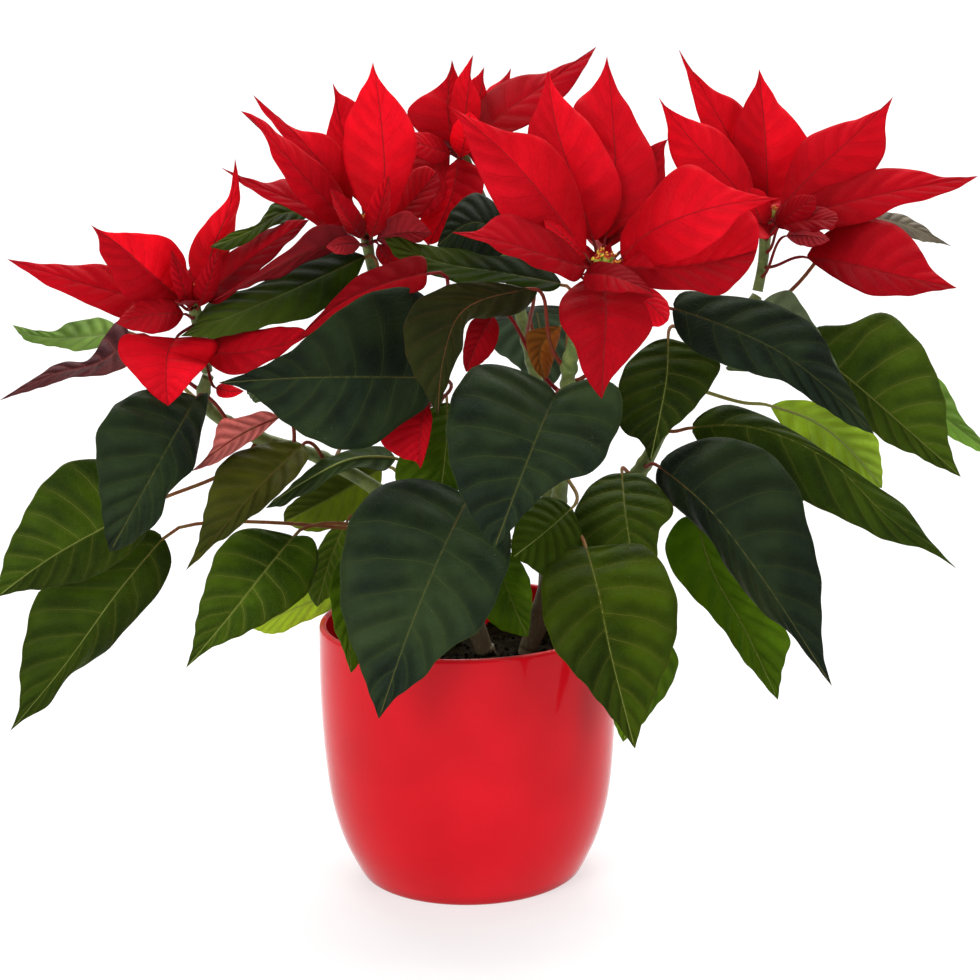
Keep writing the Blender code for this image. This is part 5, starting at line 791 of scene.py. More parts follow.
def blade_piece(name, blade, skew, path, form, tone, reds, seed, rows, columns, stalk_mm, rib_mm, light=1.0, blush=0.0, halves=(1.0, 1.0)):
    """One leaf or bract: its stalk and midrib as a thin bar, and its blade as a closed sheet."""
    rng = np.random.default_rng(seed)
    number = float(rng.random())
    v = np.linspace(0.010, 0.996, rows + 1)
    t = np.linspace(-1, 1, columns + 1)
    t = np.sign(t) * np.abs(t) ** 1.12
    mid, left, right = blade.rows(v, skew)
    half = np.where(t[None, :, None] < 0, (left - mid)[:, None], (right - mid)[:, None])
    half_mm = np.linalg.norm(half, axis=2) * 1000
    # small teeth where the side veins reach the margin, within the plane of the blade
    grow = np.ones((rows + 1, columns + 1))
    q = (v[:, None] - form.bend * np.abs(t[None]) ** 1.6) * form.veins + np.sign(t[None]) * 0.16 + number
    swell = 0.5 + 0.5 * np.cos(2 * math.pi * (q - 0.5))
    body = np.sin(math.pi * np.clip(v, 0, 1)) ** 0.6
    grow += (form.teeth * (swell - 0.6) * body[:, None] * np.abs(t[None]) ** 3) / np.maximum(half_mm, 6.0)
    base = mid[:, None] + np.abs(t)[None, :, None] * half * grow[..., None]
    # normals of the flat blade, towards its upper side
    dv = np.gradient(base, axis=0)
    dt = np.gradient(base, axis=1)
    n = unit(np.cross(dt, dv))
    kernel = np.array([0.25, 0.5, 0.25])
    for _ in range(3):
        n[:, 1:-1] = unit(kernel[0] * n[:, :-2] + kernel[1] * n[:, 1:-1] + kernel[2] * n[:, 2:])
        n[1:-1] = unit(kernel[0] * n[:-2] + kernel[1] * n[1:-1] + kernel[2] * n[2:])
    n *= blade.face
    a = np.abs(t)[None]
    x_mm = half_mm * a
    lift = form.arch * half_mm * 4 * a * (1 - a)
    lift += form.quilt * (0.5 - swell) * np.clip(x_mm / 5.0, 0, 1) * np.clip((1.05 - a) * 3, 0, 1) * np.clip(half_mm / 14.0, 0, 1)
    lift -= form.groove * np.exp(-((x_mm / 1.1) ** 2)) * body[:, None]
    for sign in (-1, 1):
        on = (np.sign(t)[None] == sign) | (np.abs(t)[None] < 1e-9)
        ripple = wander(seed * 7 + 3 + sign, v * form.waves / 2.6 + 0.37 * sign)
        quick = 0.35 * np.sin(2 * math.pi * (v * form.veins * 0.5 + rng.random()))
        lift += np.where(on & (np.abs(t)[None] > 1e-9), form.wave * (ripple + quick)[:, None] * a**2.2 * body[:, None] * np.clip(half_mm / 12.0, 0, 1), 0)
    lift += form.curl * a**3 * half_mm * 0.1
    point = base + n * lift[..., None] / 1000
    thick = form.thick / 2000 * (1 - 0.55 * a**4)[..., None]
    upper, lower = point + n * thick, point - n * thick
    count = (rows + 1) * (columns + 1)
    points = [upper.reshape(-1, 3), lower.reshape(-1, 3)]
    index = np.arange(count).reshape(rows + 1, columns + 1)
    quads = np.stack([index[:-1, :-1], index[:-1, 1:], index[1:, 1:], index[1:, :-1]], -1).reshape(-1, 4)
    if blade.face < 0:
        quads = quads[:, ::-1]
    faces = [*map(tuple, quads), *map(tuple, quads[:, ::-1] + count)]
    slots = [0] * len(quads) + [1] * len(quads)
    rim = [*index[0, :], *index[1:, -1], *index[-1, -2::-1], *index[-2:0:-1, 0]]
    for p, r in zip(rim, rim[1:] + rim[:1]):
        faces.append((r, p, p + count, r + count) if blade.face > 0 else (p, r, r + count, p + count))
        slots.append(0)
    length_dm = float(np.linalg.norm(np.diff(blade.mid, axis=0), axis=1).sum()) * 10
    u2 = np.broadcast_to((t[None] + 1) / 2, (rows + 1, columns + 1))
    v2 = np.broadcast_to(v[:, None], (rows + 1, columns + 1))
    uv = np.stack([u2, v2], -1).reshape(-1, 2)
    cm = np.stack([x_mm * np.sign(t)[None] / 10, v2 * length_dm * 10 + a * half_mm / 10 * 0.35], -1).reshape(-1, 2)
    facts = np.tile([length_dm, number], (count, 1))
    # painted shade: one half of a blade is painted lighter than the other, as the blade folds along its midrib and one
    # half catches more light
    half_light = light * np.interp(t, [-0.05, 0.05], halves)
    shade = np.stack([np.broadcast_to(half_light[None], (rows + 1, columns + 1)), np.full((rows + 1, columns + 1), blush)], -1).reshape(-1, 2)
    maps = {"blade_uv": [uv, uv], "blade_cm": [cm, cm], "blade_facts": [facts, facts], "blade_shade": [shade, shade]}
    # the stalk, then the midrib: it lies in the blade, and stands out of its under side
    rib_v = np.linspace(0.02, 0.97, 22)
    rib = along(blade.mid, rib_v)
    centre = np.argmin(np.abs(t))
    rib_n = np.stack([np.interp(rib_v, v, n[:, centre, k]) for k in range(3)], -1)
    rib_lift = np.interp(rib_v, v, lift[:, centre])
    rib_r = (rib_mm * (1 - rib_v) ** 0.8 + 0.16) / 1000
    rib = rib + rib_n * (rib_lift[:, None] / 1000 + form.thick / 2000 + 0.00006 - rib_r[:, None])
    s = np.linspace(0, 1, 16)
    stem_part = along(path, s)[:-1]
    line = np.vstack([stem_part, rib])
    radius = np.concatenate([(stalk_mm * (1 + 0.55 * np.exp(-((s[:-1] / 0.05) ** 2)) - 0.16 * s[:-1])) / 1000, rib_r])
    radius[len(stem_part) - 2 : len(stem_part) + 2] = np.interp([0, 1, 2, 3], [0, 3], [radius[len(stem_part) - 3], radius[len(stem_part) + 2]])
    sides = 8
    side0 = unit(right[-4] - left[-4])
    ss, nn = frames_along(line, side0)
    turn = np.arange(sides) * 2 * math.pi / sides
    ring = line[:, None] + radius[:, None, None] * (np.cos(turn)[None, :, None] * ss[:, None] + np.sin(turn)[None, :, None] * nn[:, None])
    first = 2 * count
    points.append(ring.reshape(-1, 3))
    bar = ring_faces(first, len(line), sides)
    faces += bar
    slots += [2] * len(bar)
    down = np.concatenate([s[:-1], 1 + rib_v])
    maps["blade_uv"].append(np.stack([np.broadcast_to(turn[None] / (2 * math.pi), (len(line), sides)), np.broadcast_to(down[:, None], (len(line), sides))], -1).reshape(-1, 2))
    maps["blade_cm"].append(np.tile([reds[2], 0.0], (len(line) * sides, 1)))
    maps["blade_facts"].append(np.tile([reds[0], reds[1]], (len(line) * sides, 1)))
    maps["blade_shade"].append(np.tile([light, blush], (len(line) * sides, 1)))
    return mesh_piece(name, np.vstack(points), faces, slots, skins_of(tone), {k: np.vstack(m) for k, m in maps.items()})


def clean(points, faces):
    return points, faces


# ------------------------------------------------------------------ leaves
# how red a leaf's stalk and midrib are, and how pale its midrib is where it isn't red
LEAF_REDS = {
    "dark": (0.9, 0.25, 0.35), "mid": (0.8, 0.0, 0.75), "lit": (0.6, 0.0, 0.8), "lit_front": (0.8, 0.0, 0.85), "lime": (0.3, 0.0, 0.9),
    "pale": (0.5, 0.1, 0.9), "dark_lit": (0.8, 0.1, 0.6), "bronze": (0.9, 0.5, 0.5), "bronze_dark": (0.9, 0.7, 0.4),
    "red_dark": (1.0, 0.9, 0.3), "grey": (0.7, 0.2, 0.7), "brown": (0.8, 0.4, 0.6), "dry": (0.5, 0.5, 0.7), "pink": (1.0, 0.9, 0.5), "bract": (1.0, 1.0, 0.3),
}
# how light a leaf stands beside the others of its tone: shaded ones are deeper, lit ones paler
LEAF_LIGHT = {
    "leaf_01": 1.15, "leaf_02": 2.3, "leaf_03": 1.2, "leaf_04": 1.2, "leaf_05": 1.0, "leaf_06": 1.2, "leaf_07": 1.7, "leaf_08": 2.5,
    "leaf_10": 0.92, "leaf_11": 0.82, "leaf_12": 1.3, "leaf_13": 1.45, "leaf_14": 1.05, "leaf_15": 1.15, "leaf_16": 0.55, "leaf_17": 1.2,
    "leaf_18": 0.78, "leaf_19": 1.4, "leaf_20": 0.65, "leaf_21": 1.05, "leaf_22": 1.1, "leaf_23": 1.15, "leaf_24": 1.85, "leaf_25": 1.05,
    "leaf_26": 1.8, "leaf_27": 1.35, "leaf_28": 1.6, "leaf_29": 0.40, "leaf_30": 0.78, "leaf_31": 0.75, "leaf_33": 2.6, "leaf_34": 0.52,
    "leaf_36": 2.0, "leaf_dry": 0.9, "bract_leaf_1": 1.5, "bract_leaf_2": 0.40, "bract_leaf_3": 0.78, "bract_leaf_4": 0.50,
}
# a leaf that is paler and yellower towards its tip
LEAF_BLUSH = {"leaf_29": 0.55, "leaf_31": 0.75, "leaf_11": 0.12, "leaf_06": 0.15}
# blades whose two halves, the first drawn margin's and the second's, catch the light differently
HALF_LIGHT = {
    "leaf_02": (0.82, 0.90), "leaf_03": (1.00, 1.20), "leaf_04": (1.20, 0.70), "leaf_07": (0.88, 1.22), "leaf_10": (0.86, 1.28),
    "leaf_11": (0.80, 0.85), "leaf_12": (1.00, 1.18), "leaf_13": (1.05, 1.15), "leaf_18": (0.92, 1.28), "leaf_20": (0.92, 1.28),
    "leaf_27": (1.06, 0.72), "leaf_28": (0.85, 1.20), "leaf_29": (0.58, 1.15), "leaf_30": (0.58, 1.10), "leaf_31": (0.42, 0.90),
    "leaf_32": (1.25, 1.00), "leaf_35": (0.50, 1.22), "leaf_dry": (0.85, 1.45), "bract_leaf_2": (0.88, 1.40), "bract_leaf_4": (0.75, 1.15),
    "A2": (1.55, 0.86), "A3": (1.00, 1.18), "A5": (1.28, 0.68), "B2": (1.00, 0.82), "B10": (1.30, 0.92), "B14": (1.22, 0.68),
    "C1": (1.06, 0.86), "C3": (0.84, 1.10), "C6": (1.22, 0.76), "C7": (0.88, 1.08), "C14": (0.74, 1.18), "D3": (0.88, 1.14),
    "D6": (1.05, 0.76), "E7": (1.20, 1.02),
}


def halves_of(key, blade, mid, side_1):
    """A blade's half lights, as (left, right)."""
    one, two = HALF_LIGHT.get(key, (1.0, 1.0))
    u, v = side_1[len(side_1) // 2][:2]
    near = np.array(place(u, v, mid[len(mid) // 2][2]))
    on_left = np.linalg.norm(blade.left - near, axis=1).min() < np.linalg.norm(blade.right - near, axis=1).min()
    return (one, two) if on_left else (two, one)


# painted light and shade: how light each head's bracts are painted, in their order, deeper for those in the shade of
# others and paler for lit ones
BRACT_LIGHT = {
    "A": (0.75, 0.80, 0.95, 1.10, 0.42, 0.72, 0.70, 0.70, 1.20, 0.66, 0.60, 0.62, 0.55),
    "B": (0.87, 1.00, 0.97, 1.20, 0.64, 0.54, 0.64, 0.70, 0.65, 0.58, 0.95, 0.62, 1.00, 0.66),
    "C": (0.94, 0.65, 1.05, 0.95, 1.00, 0.76, 0.67, 1.00, 0.65, 0.85, 0.85, 1.00, 0.85, 0.46),
    "D": (1.08, 1.00, 1.00, 0.88, 0.73, 0.62, 0.42, 0.75, 0.95, 0.85, 0.90, 0.60, 0.80),
    "E": (0.82, 1.10, 0.95, 0.68, 0.90, 0.76, 0.82, 0.85, 0.80, 0.85, 0.85, 1.40),
}
LINES = {key: shoot_line(rows) for key, rows in SHOOTS.items()}
PIECES = []


def add_leaf(name, blade, shoot, where, via, tone, seed, halves=(1.0, 1.0)):
    line, radius = LINES[shoot]
    path = stalk(blade, line, radius, where, via, -0.0014)
    size = float(np.linalg.norm(np.diff(blade.mid, axis=0), axis=1).sum()) * 1000
    small = min(1.0, size / 90.0)
    form = Form(arch=0.050, quilt=0.78 * small, wave=1.5 * small, teeth=0.65 * small, veins=9.0)
    if tone == "bract":
        form = Form(arch=0.045, quilt=0.35 * small, wave=1.5 * small, teeth=0.15, veins=9.0, bend=0.06, thick=0.30)
    leaf = blade_piece(name + "_blade", blade, LEAF_SKEW, path, form, tone, LEAF_REDS[tone], seed, 64, 24, 0.98, 0.66 * small, LEAF_LIGHT.get(name, 1.0), LEAF_BLUSH.get(name, 0.0), halves)
    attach(leaf, "root")
    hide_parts(name)
    PIECES.append(leaf)


for i, (name, shoot, where, mid, side_1, side_2, deeper_1, deeper_2, tone, face, via) in enumerate(LEAVES):
    add_leaf(name, drawn_blade(mid, side_1, side_2, deeper_1, deeper_2, face), shoot, where, via, tone, 100 + i, halves_of(name, drawn_blade(mid, side_1, side_2, deeper_1, deeper_2, face), mid, side_1))
for i, (name, shoot, where, foot_at, heading, pitch, length, width, droop, roll, tone) in enumerate(FAR_LEAVES):
    add_leaf(name, far_blade(foot_at, heading, pitch, length, width, droop, roll), shoot, where, (), tone, 300 + i)

# ------------------------------------------------------------------ heads
HEAD_LINES = {key: shoot_line(rows) for key, rows in HEAD_AXES.items()}
for h, (key, rows) in enumerate(BRACTS.items()):
    line, radius = HEAD_LINES[key]
    for i, (where, mid, side_1, side_2, deeper_1, deeper_2, face) in enumerate(rows):
        blade = drawn_blade(mid, side_1, side_2, deeper_1, deeper_2, face)
        path = stalk(blade, line, radius, where, (), -0.0012)
        size = float(np.linalg.norm(np.diff(blade.mid, axis=0), axis=1).sum()) * 1000
        small = min(1.0, size / 70.0)
        form = Form(arch=0.045, quilt=0.24 * small ** 2, wave=1.5 * small, teeth=0.12, groove=0.35 * small, veins=9.0, bend=0.06, thick=0.30)
        bract = blade_piece(f"head_{key}_bract_{i + 1}", blade, BRACT_SKEW, path, form, "bract", LEAF_REDS["bract"], 500 + 20 * h + i, 48, 20, 0.80, 0.34 * small, BRACT_LIGHT[key][i], 0.0, halves_of(f"{key}{i + 1}", blade, mid, side_1))
        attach(bract, "root")
        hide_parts(f"head_{key}")
        PIECES.append(bract)


# the smallest bracts stand right round the cups, and rise a little at their tips
def young_blade(foot, ahead, side, lean, length, width):
    n = 30
    s = np.linspace(0, 1, n)
    angle = np.radians(lean - 26.0 * s)
    way = ahead[None] * np.cos(angle)[:, None] + side[None] * np.sin(angle)[:, None]
    mid = foot + np.vstack([np.zeros(3), np.cumsum(way[:-1], axis=0)]) * length / (n - 1)
    across = np.cross(ahead, side)
    half = width / 2 * np.sin(np.pi * s**0.78) ** 0.9
    inward = ahead[None] * np.sin(angle)[:, None] - side[None] * np.cos(angle)[:, None]
    cup = inward * (0.22 * half)[:, None]
    return Blade(mid, mid + across * half[:, None] + cup, mid - across * half[:, None] + cup, 1)


# each row: shortest and tallest length in mm, and how light the young bracts are painted, which is painted shade for
# their place deep in the head
YOUNG = {"A": (15, 24, 0.62), "B": (15, 24, 0.66), "C": (11, 16, 0.62), "D": (13, 20, 0.66), "E": (13, 20, 0.70)}
for h, (key, (short, tall, light)) in enumerate(YOUNG.items()):
    rng = np.random.default_rng(900 + h)
    line, radius = HEAD_LINES[key]
    top, ahead, across, other = axis_frame(line)
    for i in range(6):
        ang = math.radians(30 + 60 * i + rng.uniform(-14, 14))
        side = across * math.cos(ang) + other * math.sin(ang)
        length = rng.uniform(short, tall) / 1000
        foot = top + side * 0.0014 - ahead * 0.0002
        blade = young_blade(foot, ahead, side, rng.uniform(74, 84), length, length * rng.uniform(0.42, 0.52))
        path = np.linspace(top - ahead * 0.003, foot, 12)
        form = Form(arch=0.04, quilt=0.06, wave=0.35, teeth=0.0, groove=0.12, veins=7.0, bend=0.06, thick=0.28)
        young = blade_piece(f"head_{key}_young_{i + 1}", blade, BRACT_SKEW, path, form, "bract", LEAF_REDS["bract"], 700 + 20 * h + i, 26, 12, 0.45, 0.16, light * rng.uniform(0.85, 1.15))
        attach(young, "root")
        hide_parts(f"head_{key}")
        PIECES.append(young)


# ------------------------------------------------------------------ stems
def stem_skin():
    g = Graph("stem_green_to_woody")
    here, height = g.here(), g.height()
    low = g.fade(g.math("ADD", height, g.math("MULTIPLY", g.noise(here, 40.0, 2.0), 0.03)), 0.135, 0.215)
    streak_at = g.node("ShaderNodeMapping")
    g.tree.links.new(here, streak_at.inputs[0])
    streak_at.inputs["Scale"].default_value = (1.0, 1.0, 0.14)
    streak = g.noise(streak_at.outputs[0], 900.0, 3.0, 0.6)
    blotch = g.noise(here, 220.0, 3.0, 0.6)
    wood = g.mix(streak, (0.060, 0.045, 0.026), (0.170, 0.140, 0.075))
    green = g.mix(g.fade(blotch, 0.3, 0.7), (0.070, 0.105, 0.022), (0.150, 0.190, 0.045))
    green = g.mix(g.fade(streak, 0.55, 0.8, 0.0, 0.35), green, (0.230, 0.240, 0.090))
    colour = g.mix(low, wood, green)
    flecks = g.fade(g.cells(here, 420.0, "F1"), 0.10, 0.22, 0.55, 0.0)
    colour = g.mix(flecks, colour, (0.260, 0.240, 0.140))
    height_map = g.math("ADD", g.math("MULTIPLY", streak, 0.7), g.math("MULTIPLY", flecks, 0.5))
    normal = g.bump(height_map, 0.0004, 0.7)
    return g.finish(g.shader(colour, g.math("MULTIPLY_ADD", streak, 0.25, 0.42), normal, Specular_IOR_Level=0.3))


STEM_SKIN = stem_skin()


def bar_mesh(line, radius, sides, side=(0.31, 0.9, 0.1)):
    ahead = unit(np.gradient(line, axis=0))
    ss, nn = frames_along(line, unit(np.cross(ahead[-1], side)))
    turn = np.arange(sides) * 2 * math.pi / sides
    ring = line[:, None] + np.asarray(radius)[:, None, None] * (np.cos(turn)[None, :, None] * ss[:, None] + np.sin(turn)[None, :, None] * nn[:, None])
    return ring.reshape(-1, 3), len(line)


stem_points, stem_faces = [], []


def add_bar(line, radius, sides):
    first = sum(len(p) for p in stem_points)
    points, rings = bar_mesh(line, radius, sides)
    stem_points.append(points)
    stem_faces.extend(ring_faces(first, rings, sides))


joints = {key: [] for key in SHOOTS}
for row in LEAVES:
    joints[row[1]].append(row[2])
for row in FAR_LEAVES:
    joints[row[1]].append(row[2])
for key in SHOOTS:
    line, radius = LINES[key]
    s = np.linspace(0, 1, 121)
    r = np.interp(s, np.linspace(0, 1, len(radius)), radius)
    length = float(np.linalg.norm(np.diff(line, axis=0), axis=1).sum())
    # a swollen node with a narrow ring at each leaf, and one at each leaf scar in between
    scars = [0.12, 0.27, 0.45] if key != "E" else [0.1, 0.3]
    for at, big in [(x, 0.22) for x in joints[key]] + [(x, 0.14) for x in scars]:
        r = r * (1 + big * np.exp(-(((s - at) * length / 0.0022) ** 2)))
    r = r * (1 + 0.02 * wander(40 + ord(key), s * 3))
    add_bar(along(line, s), r, 16)
COLLAR = [
    [(486, 646, 8, 3.8), (493, 670, 9, 4.6), (507, 694, 10, 5.0)],
    [(529, 642, 12, 3.8), (521, 669, 11, 4.6), (507, 694, 10, 5.0)],
    [(507, 686, 10, 5.6), (506.5, 704, 10, 6.0), (506, 722, 10, 3.4)],
]
for rows in COLLAR:
    line, radius = shoot_line(rows)
    s = np.linspace(0, 1, 20)
    add_bar(along(line, s), np.interp(s, np.linspace(0, 1, len(radius)), radius), 16)
stem = mesh_piece("stem_branches", np.vstack(stem_points), stem_faces, [0] * len(stem_faces), [STEM_SKIN], {})
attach(stem, "root")
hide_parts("stem")


# ------------------------------------------------------------------ the middle of each head
def cup_skin():
    g = Graph("cup_green_red_tipped")
    turn, up, _ = g.uv("cup_uv")
    here = g.here()
    mottled = g.noise(here, 700.0, 3.0, 0.6)
    green = g.mix(mottled, (0.200, 0.260, 0.030), (0.420, 0.480, 0.070))
    ribbed = g.math("SINE", g.math("MULTIPLY", turn, 2 * math.pi * 10))
    green = g.mix(g.fade(ribbed, 0.3, 1.0, 0.0, 0.25), green, (0.12, 0.17, 0.03))
    red_at = g.math("ADD", up, g.math("MULTIPLY", g.math("SUBTRACT", mottled, 0.5), 0.25))
    colour = g.mix(g.fade(red_at, 0.70, 0.86), green, (0.52, 0.030, 0.012))
    colour = g.mix(g.fade(up, 0.95, 1.0), colour, (0.30, 0.010, 0.008))
    normal = g.bump(mottled, 0.0003, 0.6)
    return g.finish(g.shader(colour, 0.42, normal, Specular_IOR_Level=0.35, Subsurface_Weight=0.1))


def gland_skin():
    g = Graph("nectar_gland")
    here = g.here()
    colour = g.mix(g.noise(here, 500.0, 2.0), (0.62, 0.42, 0.020), (0.85, 0.70, 0.060))
    return g.finish(g.shader(colour, g.math("MULTIPLY_ADD", g.noise(here, 900.0), 0.15, 0.14), None, Coat_Weight=0.6))


def pollen_skin():
    g = Graph("stamen_red_yellow")
    turn, up, _ = g.uv("cup_uv")
    here = g.here()
    colour = g.mix(g.fade(up, 0.60, 0.78), (0.50, 0.020, 0.015), g.mix(g.noise(here, 2000.0), (0.85, 0.52, 0.03), (0.60, 0.10, 0.02)))
    return g.finish(g.shader(colour, g.math("MULTIPLY_ADD", g.noise(here, 1500.0), 0.2, 0.5), None))


CUP_SKINS = [cup_skin(), gland_skin(), pollen_skin()]


def lathe(centre, way, profile, sides, squeeze=1.0, lobes=0, depth=0.0, spin=0.0):
    """Rings about way: profile rows are (height, radius) in metres."""
    way = unit(way)
    a = unit(np.cross(way, [0.2, 0.9, 0.35]))
    b = np.cross(way, a)
    turn = np.arange(sides) * 2 * math.pi / sides
    rings = []
    for i, (h, r) in enumerate(profile):
        notch = 1 + depth * np.cos(lobes * turn + spin) * (i / (len(profile) - 1)) ** 2
        rings.append(centre + way * h + r * notch[:, None] * (np.cos(turn + spin)[:, None] * a + squeeze * np.sin(turn + spin)[:, None] * b))
    return np.vstack(rings), len(profile)


for key in BRACTS:
    line, radius = HEAD_LINES[key]
    top, ahead, ax, bx = axis_frame(line)
    # the end of the shoot that the bracts grow on
    s = np.linspace(0, 1, 30)
    r = np.interp(s, np.linspace(0, 1, len(radius)), radius)
    body_line = np.vstack([along(line, s), top + ahead * 0.0009, top + ahead * RECEPTACLE])
    body_r = np.concatenate([r, [radius[-1] * 0.97, radius[-1] * 0.80]])
    points, rings = bar_mesh(body_line, body_r, 16)
    faces = ring_faces(0, rings, 16)
    axis = mesh_piece(f"head_{key}_axis", points, faces, [0] * len(faces), [STEM_SKIN], {})
    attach(axis, "root")
    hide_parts(f"head_{key}")
    # the cups, each with its toothed mouth, its gland and its stamens
    rng = np.random.default_rng(900 + ord(key))
    pts, fcs, slots, uvs = [], [], [], []

    def put(points, rings, sides, slot, heights, closed=True):
        first = sum(len(p) for p in pts)
        pts.append(points)
        made = ring_faces(first, rings, sides, closed)
        fcs.extend(made)
        slots.extend([slot] * len(made))
        turn = np.arange(sides) / sides
        for h in heights:
            uvs.append(np.stack([turn, np.full(sides, h)], -1))

    spread = CUP_SPREAD[key]
    base = [(0.0, 0.0030), (0.0004, 0.0036), (0.0010, 0.0036), (0.0014, 0.0028)]
    points, rings = lathe(top + ahead * (RECEPTACLE + GAP), ahead, [(h, rr * spread) for h, rr in base], 16)
    put(points, rings, 16, 0, [0.0, 0.1, 0.2, 0.3])
    for k, (foot, way, length, r) in enumerate(cup_places(line, RECEPTACLE + GAP, spread)):
        # outside of the cup up to its mouth, then down inside it
        profile = [(0.0, 0.45), (0.06, 0.72), (0.18, 0.93), (0.34, 1.0), (0.52, 0.98), (0.68, 0.90), (0.80, 0.80), (0.88, 0.76), (0.94, 0.82), (0.985, 0.86), (1.0, 0.80), (0.97, 0.70), (0.90, 0.60), (0.80, 0.50), (0.74, 0.15)]
        points, rings = lathe(foot, way, [(h * length, w * r) for h, w in profile], 20, lobes=5, depth=0.10, spin=rng.random() * 6)
        put(points, rings, 20, 0, [h for h, _ in profile[:11]] + [1.0, 1.0, 1.0, 1.0])
        a = unit(np.cross(way, [0.2, 0.9, 0.35]))
        b = np.cross(way, a)
        out = unit((foot - top) - way * ((foot - top) @ way)) if k else a
        # a lipped yellow gland on the outer side of the cup
        gland_at = foot + way * length * 0.66 + out * r * 0.98
        points, rings = lathe(gland_at, unit(out + way * 0.45), [(-0.0004, 0.00035), (0.0, 0.00085), (0.00045, 0.00105), (0.00075, 0.00095), (0.0006, 0.00060), (0.00035, 0.0002)], 12, squeeze=0.62)
        put(points, rings, 12, 1, [0, 0.2, 0.4, 0.6, 0.8, 1.0])
        # stamens
        for j in range(7):
            ang = rng.random() * 2 * math.pi
            reach = rng.random() ** 0.5 * r * 0.55
            root_at = foot + way * length * 0.72 + (math.cos(ang) * a + math.sin(ang) * b) * reach
            lean = unit(way + (math.cos(ang) * a + math.sin(ang) * b) * rng.random() * 0.5)
            tall = length * (0.34 + 0.22 * rng.random())
            points, rings = lathe(root_at, lean, [(0.0, 0.00016), (tall * 0.7, 0.00016), (tall * 0.78, 0.00034), (tall * 0.92, 0.00036), (tall, 0.00012)], 6)
            put(points, rings, 6, 2, [0, 0.6, 0.75, 0.9, 1.0])
    cups = mesh_piece(f"cyathia_{key}_cups", np.vstack(pts), fcs, slots, CUP_SKINS, {"cup_uv": np.vstack(uvs)}, sharp=60)
    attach(cups, "root")
    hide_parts(f"cyathia_{key}")


# ------------------------------------------------------------------ pot
def outer_radius(height):
    at = [0.0] + [f * POT_HEIGHT for f, _ in POT_OUTLINE] + [POT_HEIGHT]
    radius = [POT_OUTLINE[0][1] - 0.0010] + [r for _, r in POT_OUTLINE] + [RIM_RADIUS]
    curve = smooth(list(zip(at, radius)), 80)
    return float(np.interp(height, curve[:, 0], curve[:, 1]))


def glaze_skin():
    g = Graph("red_glaze")
    here, height = g.here(), g.height()
    slow = g.noise(here, 14.0, 2.0, 0.5)
    patch = g.noise(here, 55.0, 3.0, 0.55)
    peel = g.noise(here, 260.0, 2.0, 0.5)
    speck = g.fade(g.cells(here, 190.0, "F1"), 0.035, 0.075, 1.0, 0.0)
    rare = g.math("MULTIPLY", speck, g.fade(g.noise(here, 30.0, 1.0), 0.60, 0.66))
    colour = g.mix(g.fade(slow, 0.3, 0.7), (0.500, 0.0030, 0.0090), (0.590, 0.0042, 0.0125))
    shade = g.math("MULTIPLY_ADD", patch, 0.10, 0.95)
    colour = g.mix(1.0, colour, g.joined(shade, shade, shade), "MULTIPLY")
    # the glaze runs thin over the rim's crest, which is painted paler and pinker there, partly for the thin glaze and
    # partly as a painted highlight along the crest, and it pools at the foot
    thin_glaze_and_highlight = g.fade(g.math("ADD", height, g.math("MULTIPLY", peel, 0.0006)), POT_HEIGHT - 0.0009, POT_HEIGHT + 0.0002)
    colour = g.mix(g.math("MULTIPLY", thin_glaze_and_highlight, 0.35), colour, (0.62, 0.075, 0.065))
    pooled = g.fade(height, 0.0005, 0.0070, 0.55, 0.0)
    colour = g.mix(pooled, colour, (0.30, 0.003, 0.006))
    colour = g.mix(g.math("MULTIPLY", rare, 0.5), colour, (0.22, 0.002, 0.004))
    tall = g.math("ADD", g.math("MULTIPLY", peel, 0.5), g.math("ADD", g.math("MULTIPLY", patch, 1.2), g.math("MULTIPLY", rare, -0.6)))
    normal = g.bump(tall, 0.00022, 0.35)
    shader = g.shader(colour, g.math("MULTIPLY_ADD", patch, 0.08, 0.10), normal, Specular_IOR_Level=0.09, Coat_Weight=0.06, Coat_Roughness=0.03)
    return g.finish(shader)


def foot_skin():
    g = Graph("unglazed_foot")
    here = g.here()
    grain = g.noise(here, 700.0, 4.0, 0.65)
    colour = g.mix(grain, (0.40, 0.20, 0.12), (0.58, 0.36, 0.24))
    return g.finish(g.shader(colour, g.math("MULTIPLY_ADD", grain, 0.2, 0.7), g.bump(grain, 0.0003, 0.6), Specular_IOR_Level=0.3))


def turned_mesh(name, profile, sides, mats, slot_of):
    """A closed body turned about Z from (radius, height) rows that start and end on the axis."""
    turn = np.arange(sides) * 2 * math.pi / sides
    points, rows = [(0.0, 0.0, profile[0][1])], []
    for r, z in profile[1:-1]:
        rows.append(len(points))
        points += [(r * math.cos(a), r * math.sin(a), z) for a in turn]
    last = len(points)
    points.append((0.0, 0.0, profile[-1][1]))
    faces, slots = [], []
    for j in range(sides):
        k = (j + 1) % sides
        faces.append((0, rows[0] + j, rows[0] + k))
        slots.append(slot_of(0))
        faces.append((last, rows[-1] + k, rows[-1] + j))
        slots.append(slot_of(len(profile) - 2))
    for i in range(len(rows) - 1):
        for j in range(sides):
            k = (j + 1) % sides
            faces.append((rows[i] + j, rows[i + 1] + j, rows[i + 1] + k, rows[i] + k))
            slots.append(slot_of(i + 1))
    return mesh_piece(name, points, faces, slots, mats, {}, sharp=50)


